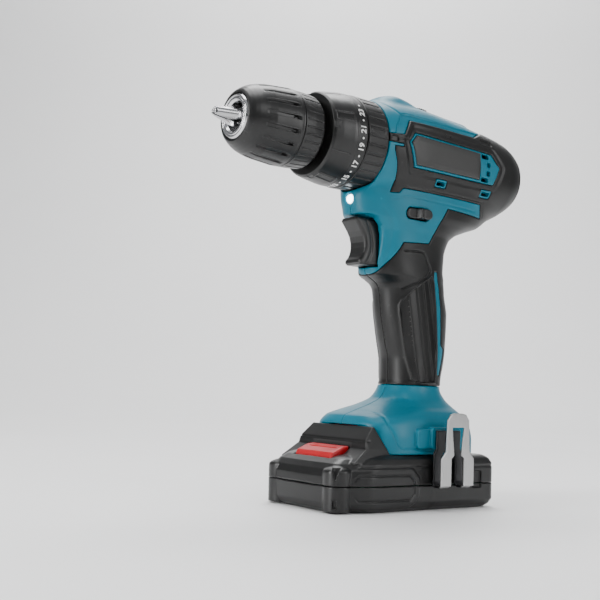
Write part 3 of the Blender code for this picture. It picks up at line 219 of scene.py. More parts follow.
for material, names in (
    (turned_steel, ("spindle", "carrier_1", "spindle_bearing", "clutch_plate", "motor_plate", "motor_can",
                    "motor_pinion", "ring_gear_1", "ring_gear_2", "chuck_nut", "chuck_screw")),
    (turned_steel, [f"planet_{stage}_{letter}" for stage in "12" for letter in "abc"]),
    (nylon, ("gear_case", "motor_end_cap", "motor_fan", "switch_body", "terminal_block")),
    (wrap, [f"battery_cell_{number}" for number in range(1, 6)]),
    (spring_steel, ("clutch_spring",)), (windings, ("rotor",)), (board, ("battery_board",)),
):
    for name in names:
        cover(name, material)


# ---- Housing ----
# Two glass-filled nylon half shells, moulded in teal and screwed together on the middle plane.
# Each is wrapped round the barrel, ridge, grip and foot, with its recesses and openings cut in it.

MM = 0.001
FINE = 1.0  # coarser skins while trying things


def along(place, stations, values):
    """A smooth curve through the values at the stations, without overshoot."""
    at, value = np.asarray(stations, np.float32), np.asarray(values, np.float32)
    step = np.diff(at)
    slope = np.diff(value) / step
    tangent = np.empty_like(value)
    tangent[0], tangent[-1] = slope[0], slope[-1]
    product = slope[:-1] * slope[1:]
    total = np.where(np.abs(slope[:-1] + slope[1:]) < 1e-6, 1, slope[:-1] + slope[1:])
    tangent[1:-1] = np.where(product > 0, 2 * product / total, 0)
    cell = np.clip(np.searchsorted(at, place) - 1, 0, len(step) - 1)
    width = step[cell]
    t = np.clip((place - at[cell]) / width, 0, 1)
    return ((1 + 2 * t) * (1 - t) ** 2 * value[cell] + t * (1 - t) ** 2 * width * tangent[cell]
            + t * t * (3 - 2 * t) * value[cell + 1] + t * t * (t - 1) * width * tangent[cell + 1])


def steepness(place, stations, values):
    """How fast that curve rises."""
    return along(place + 0.5, stations, values) - along(place - 0.5, stations, values)


def merge(a, b, blend):
    """Joins two forms with a fillet."""
    share = np.clip(0.5 + 0.5 * (b - a) / blend, 0, 1)
    return b + (a - b) * share - blend * share * (1 - share)


def meet(a, b, blend):
    """Keeps what both forms share, with a rounded edge."""
    return -merge(-a, -b, blend)


def carve(a, b, blend=0.4):
    """Takes form b out of form a."""
    return meet(a, -b, blend)


def oval(u, v, half_u, half_v, power):
    """A superellipse, measured along the ray from its middle."""
    g = (np.abs(u / half_u) ** power + np.abs(v / half_v) ** power) ** (1 / power)
    return np.sqrt(u * u + v * v) * (1 - 1 / np.maximum(g, 1e-3))


def outline(u, v, points, round_by=0.0):
    """Distance to a closed outline, negative inside. round_by rounds the corners outwards."""
    best, inside = np.inf, False
    for (au, av), (bu, bv) in zip(points, points[1:] + points[:1]):
        eu, ev = bu - au, bv - av
        du, dv = u - au, v - av
        t = np.clip((du * eu + dv * ev) / (eu * eu + ev * ev), 0, 1)
        best = np.minimum(best, (du - t * eu) ** 2 + (dv - t * ev) ** 2)
        rise = ev if ev else 1e-9
        inside = inside ^ (((av <= v) != (bv <= v)) & (u < au + dv * eu / rise))
    return np.where(inside, -1, 1) * np.sqrt(best) - round_by


def trace(u, v, points):
    """Distance to an open line."""
    best = np.inf
    for (au, av), (bu, bv) in zip(points, points[1:]):
        eu, ev = bu - au, bv - av
        t = np.clip(((u - au) * eu + (v - av) * ev) / (eu * eu + ev * ev), 0, 1)
        best = np.minimum(best, (u - au - t * eu) ** 2 + (v - av - t * ev) ** 2)
    return np.sqrt(best)


def slab(u, low, high):
    """Distance to the space between two planes."""
    return np.abs(u - (low + high) / 2) - (high - low) / 2


def fade(depth, width):
    """Rises smoothly from 0 to 1 over a width."""
    t = np.clip(depth / width, 0, 1)
    return t * t * (3 - 2 * t)


def block(x, y, z, low, high):
    """A box between two corners."""
    return np.maximum(np.maximum(slab(x, low[0], high[0]), slab(y, low[1], high[1])), slab(z, low[2], high[2]))


def window(u, v, low_u, low_v, high_u, high_v, corner):
    """A rectangle with round corners, seen from the side."""
    du = np.maximum(slab(u, low_u, high_u) + corner, 0)
    dv = np.maximum(slab(v, low_v, high_v) + corner, 0)
    inner = np.minimum(np.maximum(slab(u, low_u, high_u), slab(v, low_v, high_v)) + corner, 0)
    return np.sqrt(du * du + dv * dv) + inner - corner


def mesh_piece(name, points, faces, smooth=True):
    """A piece with its mesh, from points in metres and faces."""
    mesh = bpy.data.meshes.new(name)
    mesh.from_pydata(points, [], faces)
    if smooth:
        mesh.shade_smooth()
    piece = bpy.data.objects.new(name, mesh)
    bpy.context.scene.collection.objects.link(piece)
    return piece


def skin(name, form, low, high, step, mirror=False):
    """Wraps a mesh round a form (millimetres, negative inside) and pulls it tight onto it."""
    step = step * FINE
    axes = [np.arange(a, b + step, step, dtype=np.float32) for a, b in zip(low, high)]
    shape = tuple(len(axis) for axis in axes)
    slices = [part[:, None, None] for part in np.array_split(axes[0], 16) if len(part)]

    def sample(part):
        value = form(part, axes[1][None, :, None], axes[2][None, None, :])
        return np.broadcast_to(value, (len(part), *shape[1:])).astype(np.float32)

    with ThreadPoolExecutor(4) as pool:
        value = np.concatenate(list(pool.map(sample, slices)))
    inside = value < 0
    cells = tuple(n - 1 for n in shape)
    corners = [(i, j, k) for i in (0, 1) for j in (0, 1) for k in (0, 1)]
    filled = np.zeros(cells, np.int8)
    for i, j, k in corners:
        filled += inside[i:i + cells[0], j:j + cells[1], k:k + cells[2]]
    active = np.argwhere((filled > 0) & (filled < 8))
    index = np.full(cells, -1, np.int32)
    index[tuple(active.T)] = np.arange(len(active))
    at_corner = [value[active[:, 0] + i, active[:, 1] + j, active[:, 2] + k] for i, j, k in corners]
    total, hits = np.zeros((len(active), 3)), np.zeros(len(active))
    for a in range(8):
        for bit in (1, 2, 4):
            b = a | bit
            if b == a:
                continue
            crossing = (at_corner[a] < 0) != (at_corner[b] < 0)
            share = np.where(crossing, at_corner[a] / np.where(crossing, at_corner[a] - at_corner[b], 1), 0)
            start, end = np.array(corners[a]), np.array(corners[b])
            total += (start + share[:, None] * (end - start)) * crossing[:, None]
            hits += crossing
    points = np.array(low) + step * (active + total / hits[:, None])
    faces = []
    for axis in range(3):
        one, two = (axis + 1) % 3, (axis + 2) % 3
        before = np.moveaxis(np.moveaxis(inside, axis, 0)[:-1], 0, axis)
        after = np.moveaxis(np.moveaxis(inside, axis, 0)[1:], 0, axis)
        edges = np.argwhere(before != after)
        low_side = (edges[:, one] > 0) & (edges[:, two] > 0)
        edges = edges[low_side & (edges[:, one] < cells[one]) & (edges[:, two] < cells[two])]
        ring = []
        for back_one, back_two in ((1, 1), (0, 1), (0, 0), (1, 0)):
            cell = edges.copy()
            cell[:, one] -= back_one
            cell[:, two] -= back_two
            ring.append(index[tuple(cell.T)])
        quads = np.stack(ring, 1)
        backwards = ~before[tuple(edges.T)]
        quads[backwards] = quads[backwards][:, ::-1]
        faces.append(quads)
    faces = np.concatenate(faces)
    reach = 0.12

    def pulled(points):
        x, y, z = points.T
        here = form(x, y, z)
        slope = np.stack([form(x + reach, y, z) - form(x - reach, y, z),
                          form(x, y + reach, z) - form(x, y - reach, z),
                          form(x, y, z + reach) - form(x, y, z - reach)], 1) / (2 * reach)
        steep = np.maximum((slope ** 2).sum(1), 0.2)
        move = -(here / steep)[:, None] * slope
        size = np.maximum(np.linalg.norm(move, axis=1), 1e-9)
        return points + move * np.minimum(1, 0.6 * step / size)[:, None]

    with ThreadPoolExecutor(4) as pool:
        for _ in range(2):
            points = np.concatenate(list(pool.map(pulled, np.array_split(points, 8))))
    if mirror:
        points[:, 1] *= -1
        faces = faces[:, ::-1]
    return mesh_piece(name, points * MM, faces)


def show(piece, body, node, material):
    """A piece in its material, riding on its body in place of the frame's solid."""
    piece.data.materials.clear()
    piece.data.materials.append(material)
    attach(piece, body)
    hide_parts(node)
    return piece


AXIS_Z, BARREL_REAR = 205.2, 96.0
FOOT_BOTTOM, FOOT_HALF, FOOT_ROOF, GRIP_HALF = 30.3, 33.0, 45.6, 17.0
WALL = 3.6
SKIN = 1.5  # thickness of the soft grip and of the side panels
SEAM = 0.12  # half the gap between pieces that meet
LAMP_Z = 173.6
SCREWS, BORE = [(-15.5, 171.5), (33, 160), (80, 192), (74, 222), (22, 88)], 3.3
# Barrel: x, half width, top and bottom from the axis, power
BARREL = [
    (-23.8, 26.9, 26.9, -26.9, 2.0), (-12, 28.2, 28.4, -28, 2.2), (8, 29, 28.4, -29, 2.4), (40, 29, 26.4, -29.2, 2.4),
    (62, 29, 23.8, -29.8, 2.4), (78, 28.4, 21.6, -29.2, 2.3), (88, 25.8, 17.8, -25.6, 2.2), (93.5, 21, 12.4, -20, 2.1),
    (96, 14, 6, -13, 2.0),
]
# Ridge along the top: x, height, half width
RIDGE = [
    (-20.5, 227.5, 9), (-12, 236.8, 13), (-4, 238.4, 13.5), (4, 237.6, 13), (14, 234.4, 12), (26, 234, 12),
    (43, 233.4, 12), (52, 233.4, 11.5), (61, 229, 10), (76, 222, 8),
]
# Grip and foot, from the bottom: z, front, rear, half width, power
HANDLE = [
    (FOOT_BOTTOM, -29.4, 52, FOOT_HALF, 4.5), (38, -29.4, 52, FOOT_HALF, 4.5),
    (FOOT_ROOF, -29.6, 52, FOOT_HALF - 1, 4), (50, -27.6, 51.2, FOOT_HALF - 2.3, 3.3),
    (53.4, -19.4, 49.5, FOOT_HALF - 5, 2.8), (56.5, -10.2, 47, GRIP_HALF + 7, 2.5),
    (61, -0.8, 42.5, GRIP_HALF + 3, 2.3), (67, 3, 39.6, GRIP_HALF + 0.6, 2.2),
    (72, 4.6, 40, GRIP_HALF, 2.2), (83, 4.2, 42.6, GRIP_HALF, 2.2),
    (95, 1.1, 44.3, GRIP_HALF, 2.2), (111, -2.6, 45.2, GRIP_HALF, 2.2), (124, -4.6, 42.6, GRIP_HALF, 2.2),
    (127.2, -6.8, 42.5, GRIP_HALF, 2.2), (129.6, -11, 42.5, GRIP_HALF, 2.2), (132, -15.6, 42.3, GRIP_HALF, 2.3),
    (137, -16.8, 41, GRIP_HALF, 2.4), (146, -17.6, 40.8, GRIP_HALF + 0.6, 2.5), (156, -19.5, 44, 18.8, 2.5),
    (160.5, -23.5, 49.5, 19.8, 2.5), (164, -27.6, 57.5, 20.3, 2.6), (168.4, -28.8, 69.5, 21.5, 2.6),
    (176, -30.2, 79, 22.3, 2.7), (182, -28.5, 84, 22.5, 2.8), (192, -23, 80, 21, 2.8),
]


def columns(rows):
    """The rows' columns, each as a list."""
    return [list(column) for column in zip(*rows)]


def body(x, y, z):
    """The whole outer form of the housing and its soft grips."""
    at, half, top, bottom, power = columns(BARREL)
    middle = AXIS_Z + (along(x, at, top) + along(x, at, bottom)) / 2
    height = (along(x, at, top) - along(x, at, bottom)) / 2
    barrel = oval(y, z - middle, along(x, at, half), height, along(x, at, power))
    barrel = barrel / np.sqrt(1 + steepness(x, at, half) ** 2)
    barrel = meet(np.maximum(barrel, -24.1 - x), x - BARREL_REAR, 3.0)
    at, top, half = columns(RIDGE)
    base = AXIS_Z + 12
    height = (along(x, at, top) - base) / 2
    ridge = oval(y, z - base - height, along(x, at, half), height, 3.0)
    ridge = np.maximum(ridge, slab(x, -20.5, 76))
    at, front, rear, half, power = columns(HANDLE)
    middle = (along(z, at, front) + along(z, at, rear)) / 2
    length = (along(z, at, rear) - along(z, at, front)) / 2
    width = along(z, at, half)
    handle = oval(x - middle, y, length, width, along(z, at, power))
    lean = np.where(x < middle, steepness(z, at, front), steepness(z, at, rear))
    ahead = (x - middle) ** 2 / length ** 2
    aside = y * y / width ** 2
    lean = (lean ** 2 * ahead + steepness(z, at, half) ** 2 * aside) / np.maximum(ahead + aside, 1e-6)
    handle = handle / np.sqrt(1 + np.minimum(lean, 4))
    handle = meet(np.maximum(handle, z - 192), FOOT_BOTTOM - z, 0.8)
    return merge(merge(barrel, ridge, 4.0), handle, 5.0)


SOFT_OUTLINE = [
    (-8.2, 218.6), (-13.3, 209.4), (-24.5, 208.4), (-24, 203.8), (-14, 203.6), (-14, 202.2), (-20, 202),
    (-19.6, 199.2), (-16.6, 193.4), (-12.9, 184.6), (-14.8, 177.2), (-9, 177.6), (-6.7, 180.4), (56.5, 180.2),
    (60.5, 172.6),
    (28.4, 173.4), (17.5, 151.6), (-1.8, 150.2), (-3.8, 146.2), (-7.2, 141.3), (-10, 137.8), (-12.9, 133.6),
    (-14.6, 131), (-18, 128.6), (-40, 128), (-40, 68.5), (112, 68.5), (112, 245), (84, 245), (73, 233), (46, 219.4),
]
FRAME_OUTLINE = [(-9.5, 205.6), (-4, 192.2), (61, 192.1), (65.5, 202.9), (59.1, 210.5), (-5, 211.7)]
PANEL_OUTLINE = [(-8, 205.6), (-3, 193.5), (49, 193.4), (48.6, 209.6), (-4.1, 210.4)]
STRIPE = [
    (24.8, 135.8), (27.3, 135.8), (30.2, 117.5), (30.7, 114), (31.5, 92.6), (34.9, 90.5), (30.9, 74.5),
    (28.9, 75.6), (28.6, 92.4), (26.6, 114.9), (24.5, 131.8),
]
WINDOWS = [(19.2, 186.6), (57.3, 186.4)]  # middle of each small louvre
VENTS = [(53.4, 208.4, 3, 1.4), (56, 203.4, 1.6, 1.5), (55.8, 198.2, 1.6, 1.5), (53.2, 194.1, 3, 1.3)]


def soft_region(x, y, z):
    """Where the soft grip covers the side, seen from the side: negative inside."""
    region = outline(x, z, SOFT_OUTLINE)
    side = y + 5
    region = carve(region, np.maximum(outline(x, z, FRAME_OUTLINE), side), 0.3)
    for u, v in WINDOWS:
        region = carve(region, np.maximum(window(x, z, u - 4.3, v - 2.2, u + 4.3, v + 2.2, 0.8), side), 0.3)
    return carve(region, outline(x, z, STRIPE), 0.3)


def half_shell(x, y, z, right):
    """One half of the housing, drawn on the left of the middle plane."""
    skin_of_tool = body(x, y, z)
    # the barrel's shoulder steps down round the soft frame, and shallow grooves run round the trigger and the foot
    ledge = outline(x, z, [(-27, 202), (-20.7, 208.4), (-19.3, 213.3), (-14.2, 221.6), (-10.8, 223.1), (30, 222.4),
                           (52, 223.5), (100, 240), (100, 170), (-27, 170)])
    sunk = 0.8 * fade(-ledge, 1.0) * fade(z - 203, 4)
    for line, width, depth in (
        ([(-19.5, 52), (-20.3, 46.8), (-15.4, 34.8), (-13, 33.2), (-1.9, 33), (9, 32.6)], 0.6, 0.6),
        ([(-17, 168), (-11.2, 163), (-8.6, 156), (-9.2, 144), (-12, 135)], 1.8, 0.45),
        ([(-13, 173.6), (-4, 176.2), (53, 175.6)], 0.5, 0.4),
        ([(-21, 229), (-14.2, 221.6)], 0.8, 0.4),
    ):
        sunk = sunk + depth * np.exp(-(trace(x, z, line) / width) ** 2)
    shell = skin_of_tool + sunk * np.where(y < -8, 1, 0)
    region = soft_region(x, y, z)
    shell = carve(shell, np.maximum(region - 0.1, -(skin_of_tool + SKIN + 0.2)), 0.35)
    panel = np.maximum(outline(x, z, PANEL_OUTLINE), y + 12)
    shell = carve(shell, np.maximum(panel - 0.1, -(skin_of_tool + SKIN + 0.2)), 0.35)
    # hollow inside, with room for the rings, the gear case and the battery's rails
    hollow = np.maximum(skin_of_tool + WALL, FOOT_ROOF - z)
    hollow = np.maximum(hollow, -block(x, y, z, (-60, -40, 160), (-9, 40, 168)))  # a floor over the trigger's room
    shell = carve(shell, hollow, 0.5)
    from_axis = np.sqrt(y * y + (z - AXIS_Z) ** 2)
    for radius, rear in ((27.2, -23.9), (23.1, 12)):
        shell = carve(shell, np.maximum(from_axis - radius, x - rear), 0.3)
    shell = carve(shell, np.maximum(outline(x, z, [
        (-70, 20), (-20.4, 20), (-20.4, 30.2), (-28.3, 45.5), (-70, 45.5)]), slab(y, -50, 50)), 0.4)
    for low, high in (
        ((-60, -20.5, 20), (36, 20.5, 43.2)), ((-60, -24.5, 35.7), (36, 24.5, 43.2)),  # the tower and its rails
        ((-49, -12, 40), (-21.5, 12, 45.2)), ((24.2, -13.3, 40), (35.8, 13.3, 48)),  # the hook and the terminals
    ):
        shell = carve(shell, block(x, y, z, low, high), 0.3)
    # openings for the trigger, the lever, the selector, the lamp and the cooling air
    shell = carve(shell, block(x, y, z, (-60, -8.4, 135.3), (-10, 8.4, 163.4)), 0.8)
    mouth = outline(x, z, [(-60, 164.6), (-22.6, 164.6), (-18.7, 162.9), (-15.3, 159), (-13.9, 154), (-13.6, 148.7),
                           (-13.9, 142), (-15, 137.6), (-17, 134.9), (-60, 134.9)])
    shell = carve(shell, np.maximum(mouth, slab(y, -40, 40)), 1.2)
    lever = np.maximum(window(x, z, -3.1, 163.7, 15.0, 170.8, 3.3), y + 3)
    shell = carve(shell, lever, 0.6)
    shell = carve(shell, block(x, y, z, (15.6, -5.6, 222), (34.4, 5.6, 250)), 0.6)
    shell = carve(shell, np.maximum(np.sqrt(y * y + (z - LAMP_Z) ** 2) - 3.3, x + 22), 0.8)
    for u, v, wide, tall in VENTS:
        shell = carve(shell, np.maximum(window(x, z, u - wide, v - tall, u + wide, v + tall, 0.7), y + 14), 0.4)
    for u, v in WINDOWS:
        shell = carve(shell, np.maximum(window(x, z, u - 3.2, v - 1.1, u + 3.2, v + 1.1, 0.5), y + 14), 0.3)
    if right:
        for u, v in SCREWS:
            shell = carve(shell, np.maximum(np.sqrt((x - u) ** 2 + (z - v) ** 2) - BORE, y + 8), 0.5)
    else:
        pad = np.maximum(window(x, z, 5.5, 33.6, 28.5, 45.4, 2.5), slab(y, -36.5, -30))
        step = np.maximum(window(x, z, -3.7, 33.8, 8, 44.4, 2.0), slab(y, -34.9, -30))
        shell = merge(merge(shell, step, 0.7), pad, 0.7)
    return meet(shell, y + SEAM, 0.5)


teal = finish_of("teal_nylon", (0.0, 0.150, 0.222), (0.0, 0.130, 0.194), (0.01, 0.26, 0.35), (0.34, 0.44),
                 size=0.05, edge_wear_and_painted_highlight=0.3, grain=0.00045, depth=0.000008, shine=0.32)
for side, right in (("left", False), ("right", True)):
    shell = skin(f"half_shell_{side}", lambda x, y, z: half_shell(x, y, z, right),
                 (-33, -37.8, 28.8), (98, 0.9, 242), 0.55, mirror=right)
    show(shell, "drill", f"housing_{side}", teal)


# ---- Soft grips ----
# Dark thermoplastic rubber moulded over each half: a frame round the barrel, its rear cap, and the handle.
# It stands a little proud, with a fluted palm panel, fine grooves and soft edges.

FLUTED = [
    (21.6, 133.2), (15.5, 129.1), (7.7, 124), (2.3, 117.5), (1.4, 114.7), (1.7, 110.9), (4.1, 99.4), (6.5, 89),
    (8.7, 80.2), (10.4, 72.6), (12, 70.4), (16, 69.8), (26.2, 70.6), (26.8, 92.3), (24.8, 114.7), (22.8, 130.4),
]


def soft_grip(x, y, z, right):
    """The soft grip of one half, drawn on the left of the middle plane."""
    skin_of_tool = body(x, y, z)
    palm = outline(x, z, FLUTED)
    across = (x + 0.18 * (z - 92) - 6.4) / 5.2
    flute = across - np.floor(across)
    lift = 0.3 - fade(-palm, 0.8) * (0.4 + 0.9 * np.minimum(flute, (1 - flute) * 7))
    lift = lift - 0.6 * fade(5.2 - outline(x, z, FRAME_OUTLINE), 2.2)
    for line, width, depth in (
        ([(-0.3, 145.4), (11.1, 146.3), (14.3, 145.9), (20.2, 137.5), (20.6, 135.6), (17.1, 131.5), (2, 123.6)],
         0.55, 0.9),
        ([(88.5, 180), (88.5, 232)], 0.5, 0.6),
        ([(-17.6, 206.2), (-10, 207.2), (-6, 214.8)], 0.5, 0.35),
        ([(-4, 182), (58, 181.6), (62.5, 174)], 0.5, 0.3),
    ):
        lift = lift - depth * np.exp(-(trace(x, z, line) / width) ** 2)
    lift = lift + 0.7 * np.exp(-(palm / 0.5) ** 2)
    for pocket, depth, width in (
        ((19, 214, 24, 215.9, 0.8), 0.8, 0.4), ((50, 215.8, 61, 219.6, 1.2), 0.8, 0.4),
        ((-22.8, 203.9, -17.8, 207.6, 1.4), 1.1, 0.5),
    ):
        lift = lift - depth * fade(-window(x, z, *pocket), width)
    grip = np.maximum(skin_of_tool - lift, -(skin_of_tool + SKIN))
    grip = meet(grip, soft_region(x, y, z) + SEAM, 0.9)
    grip = carve(grip, block(x, y, z, (-50, -8.1, 135.5), (-10, 8.1, 164)), 0.3)
    if right:
        for u, v in SCREWS[2:]:
            grip = carve(grip, np.sqrt((x - u) ** 2 + (z - v) ** 2) - BORE, 0.6)
    return meet(grip, y + SEAM, 0.4)


rubber = finish_of("grip_rubber", (0.0060, 0.0059, 0.0058), (0.0047, 0.0046, 0.0045), (0.035, 0.034, 0.033),
                   (0.34, 0.42), size=0.03, edge_wear_and_painted_highlight=0.4, grain=0.0006, depth=0.00001, shine=0.38)
for side, right in (("left", False), ("right", True)):
    grip = skin(f"soft_grip_{side}", lambda x, y, z: soft_grip(x, y, z, right),
                (-25.5, -30.6, 67.5), (97.5, 0.9, 237), 0.5, mirror=right)
    show(grip, "drill", f"rubber_grip_{side}", rubber)


# ---- Side panels ----
# Thin moulded nylon plates, snapped into the barrel's sides inside their teal border.
# They are slightly crowned, with a soft edge all round.

def side_plate(x, y, z):
    """One side plate, drawn on the left."""
    skin_of_tool = body(x, y, z)
    edge = outline(x, z, PANEL_OUTLINE)
    plate = np.maximum(skin_of_tool - 0.25 * fade(-edge - 0.4, 3), -(skin_of_tool + SKIN))
    return meet(np.maximum(plate, y + 12), edge + SEAM, 0.6)


panel_black = finish_of("panel_nylon", (0.026, 0.0258, 0.025), (0.022, 0.0218, 0.021), (0.06, 0.06, 0.06),
                        (0.4, 0.48), size=0.03, edge_wear_and_painted_highlight=0.4, grain=0.00035, depth=0.000006)
for side, mirror in (("left", False), ("right", True)):
    plate = skin(f"side_plate_{side}", side_plate, (-9.4, -30.6, 191), (50.2, -20, 212), 0.4, mirror=mirror)
    show(plate, "drill", f"side_panel_{side}", panel_black)


# ---- Work light ----
# A clear moulded dome over a white diode, pressed into the housing under the chuck.

def turned(name, profile, bend=None, segments=300, step=0.4, soften=0.35):
    """Turns a closed outline (x, radius) round the drive axis. bend gives extra radius at x, radius, angle."""
    path = []
    for before, here, after in zip(profile[-1:] + profile[:-1], profile, profile[1:] + profile[:1]):
        before, here, after = np.array(before), np.array(here), np.array(after)
        if here[1] < 1e-6:
            path.append(here)
            continue
        start = here + (before - here) * min(soften / max(np.linalg.norm(before - here), 1e-6), 0.45)
        end = here + (after - here) * min(soften / max(np.linalg.norm(after - here), 1e-6), 0.45)
        for t in (0, 0.25, 0.5, 0.75, 1):
            path.append((1 - t) ** 2 * start + 2 * t * (1 - t) * here + t * t * end)
    fine = []
    for here, after in zip(path, path[1:] + path[:1]):
        parts = max(1, int(np.linalg.norm(after - here) / (step * FINE)))
        fine += [here + (after - here) * i / parts for i in range(parts)]
    line = np.array(fine)
    angle = np.linspace(0, math.tau, segments, endpoint=False)
    x, radius = line[:, 0][:, None], line[:, 1][:, None]
    grown = radius + (bend(x, radius, np.degrees(angle)[None, :]) if bend else 0)
    points = np.stack(np.broadcast_arrays(x, -grown * np.cos(angle), AXIS_Z + grown * np.sin(angle)), 2)
    count = len(line)
    index = np.arange(count * segments).reshape(count, segments)
    ahead, beside = np.roll(index, -1, 0), np.roll(index, -1, 1)
    faces = np.stack([index, beside, np.roll(ahead, -1, 1), ahead], 2).reshape(-1, 4)
    piece = mesh_piece(name, points.reshape(-1, 3) * MM, faces)
    piece.data.validate()
    cleaner = bmesh.new()
    cleaner.from_mesh(piece.data)
    bmesh.ops.remove_doubles(cleaner, verts=cleaner.verts, dist=1e-7)
    bmesh.ops.recalc_face_normals(cleaner, faces=cleaner.faces)
    cleaner.to_mesh(piece.data)
    cleaner.free()
    piece.data.shade_smooth()
    return piece


def place_group():
    """A mask over a piece by where a point lies along an axis of the piece: 0 before start, 1 past end."""
    tree, given, made = group("place_mask", [("Axis", "Vector", (1, 0, 0)), ("Start", "Float", 0.0),
                                             ("End", "Float", 1.0)], [("Mask", "Float")])
    place, reach = tree.nodes.new("ShaderNodeTexCoord"), tree.nodes.new("ShaderNodeVectorMath")
    reach.operation = "DOT_PRODUCT"
    mask = ranged(tree.nodes)
    wire(tree, (place, "Object", reach, 0), (given, "Axis", reach, 1), (reach, "Value", mask, "Value"),
         (given, "Start", mask, "From Min"), (given, "End", mask, "From Max"), (mask, 0, made, "Mask"))
    return tree


PLACE_MASK = place_group()
lens = turned("work_light", [(-31, 0), (-30.9, 0.8), (-30.3, 1.8), (-29.2, 2.6), (-28, 2.95), (-24, 2.95), (-24, 0)],
              segments=64, step=0.3)
lens.data.transform(Matrix.Translation((0, 0, (LAMP_Z - AXIS_Z) * MM)))
glow = finish_of("lit_lens", (0.95, 0.97, 1), (0.9, 0.95, 1), (1, 1, 1), (0.05, 0.1), grain=0.002, depth=0.00001)
tree = glow.node_tree
behind = placed(tree.nodes, PLACE_MASK, Axis=(1, 0, 0), Start=-0.0292, End=-0.0285)
light = mixed(tree.nodes, (0.85, 0.95, 1), (0, 0, 0))  # only the dome ahead of the housing is lit
wire(tree, (behind, "Mask", light, "Factor"), (light, 2, tree.nodes["Principled BSDF"], "Emission Color"))
tree.nodes["Principled BSDF"].inputs["Emission Strength"].default_value = 8
show(lens, "drill", "led_lens", glow)


# ---- Housing screws ----
# Five plated thread-forming screws, entered from the right, with round heads and cross drives.

def screw_form(x, y, z, length, head, height, shank):
    """A screw along Y with its head at positive Y, seated at zero."""
    radius = np.sqrt(x * x + z * z)
    angle = np.arctan2(z, x)
    pitch = (y / 1.2 - angle / math.tau) % 1
    thread = radius - shank + 0.25 * np.abs(pitch - 0.5)
    thread = np.maximum(np.maximum(thread, -y - length), y)
    thread = np.maximum(thread, (radius - shank + (-y - length + 2.5) * 0.5))
    dome = np.maximum(np.sqrt(radius ** 2 + (y + 4.5 - height) ** 2) - 4.5, radius - head)
    dome = meet(dome, -y, 0.2)
    drive = np.minimum(np.maximum(np.abs(x) - 0.4, np.abs(z) - 1.7), np.maximum(np.abs(z) - 0.4, np.abs(x) - 1.7))
    dome = carve(dome, np.maximum(drive, (height - 1.1 - y) * 0.7 + radius * 0.3), 0.15)
    return np.minimum(dome, thread)


zinc = brushed_metal("zinc_steel", (0.42, 0.42, 0.43), (0.6, 0.6, 0.61), (0.28, 0.42), (1500, 1500, 1500))
HEAD, SHANK = 2.0, 1.45  # height of the round head, and radius of the shank
for number in range(1, 6):
    low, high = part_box(f"housing_screw_{number}")
    place = Vector(((low.x + high.x) / 2, high.y - HEAD * MM, (low.z + high.z) / 2))
    if number == 1:
        size, start = (high - low) / MM, place
        shaft = size.y - HEAD
        screw = first = skin("screw_1", lambda x, y, z: screw_form(x, y, z, shaft, size.x / 2, HEAD, SHANK),
                             (-3.4, -shaft - 0.6, -3.4), (3.4, 2.6, 3.4), 0.2)
        screw.data.transform(Matrix.Translation(start))
    else:
        screw = first.copy()
        screw.data = first.data.copy()
        screw.name = f"screw_{number}"
        screw.data.transform(Matrix.Translation(place - start))
        bpy.context.scene.collection.objects.link(screw)
    show(screw, "drill", f"housing_screw_{number}", zinc)


# ---- Chuck ----
# A keyless chuck: a hardened steel body with a polished nose, three ground jaws in their bores, and
# two glass-filled nylon sleeves, the front one slotted for the fingers and the rear one finely ribbed.

JAW_TIP, JAW_RADIUS, JAW_ANGLE = -123.4, 3.2, math.radians(16)
JAW_RISE = 2.2 - JAW_RADIUS / math.cos(JAW_ANGLE)
JAW_TURNS = [math.radians(turn) for turn in (90, 210, 330)]


def jaw_bar(x, y, z, radius):
    """A round bar along a jaw, which leans out from the drive axis towards the rear."""
    run = (x - JAW_TIP) * math.cos(JAW_ANGLE) + (z - JAW_RISE) * math.sin(JAW_ANGLE)
    side = (z - JAW_RISE) * math.cos(JAW_ANGLE) - (x - JAW_TIP) * math.sin(JAW_ANGLE)
    return np.sqrt(side ** 2 + y * y) - radius, run


def jaw(x, y, z):
    """A ground jaw, with its two flats that meet the other jaws and a bevelled tip."""
    bar, run = jaw_bar(x, y, z, JAW_RADIUS)
    flats = (0.35 + np.abs(y) * math.tan(math.radians(30)) - z) * math.cos(math.radians(30))
    teeth = 0.12 * (np.abs((run * 0.8) % 1 - 0.5) * 2) * fade(run - 13, 2)
    shape = meet(bar + teeth, flats, 0.15)
    shape = meet(shape, JAW_TIP - x, 0.3)
    shape = meet(shape, (-(x - JAW_TIP) + (z - 1.6) * 1.2) * 0.64, 0.2)
    return np.maximum(shape, run - 36)


def chuck_core(x, y, z):
    """The chuck's steel body with its jaw bores and the polished nose."""
    z = z - AXIS_Z
    radius = np.sqrt(y * y + z * z)
    core = outline(x, radius, [
        (-109.8, 7.9), (-111, 9), (-111, 10), (-110.5, 10.2), (-110.5, 10.5), (-111, 10.8), (-111, 11.3),
        (-109.9, 12.3), (-101.4, 12.3), (-97.3, 13.2), (-97.3, 9.4), (-89.3, 11.6), (-89.3, 15.5), (-65.5, 15.5),
        (-65.5, 6.2), (-84, 6.2), (-84, 2.4), (-88, 2.4), (-88, 5.3), (-104.4, 5.3), (-104.4, 7.9),
    ])
    for turn in JAW_TURNS:
        v, w = y * math.cos(turn) + z * math.sin(turn), z * math.cos(turn) - y * math.sin(turn)
        core = carve(core, jaw_bar(x, v, w, JAW_RADIUS + 0.25)[0], 0.3)
    return core


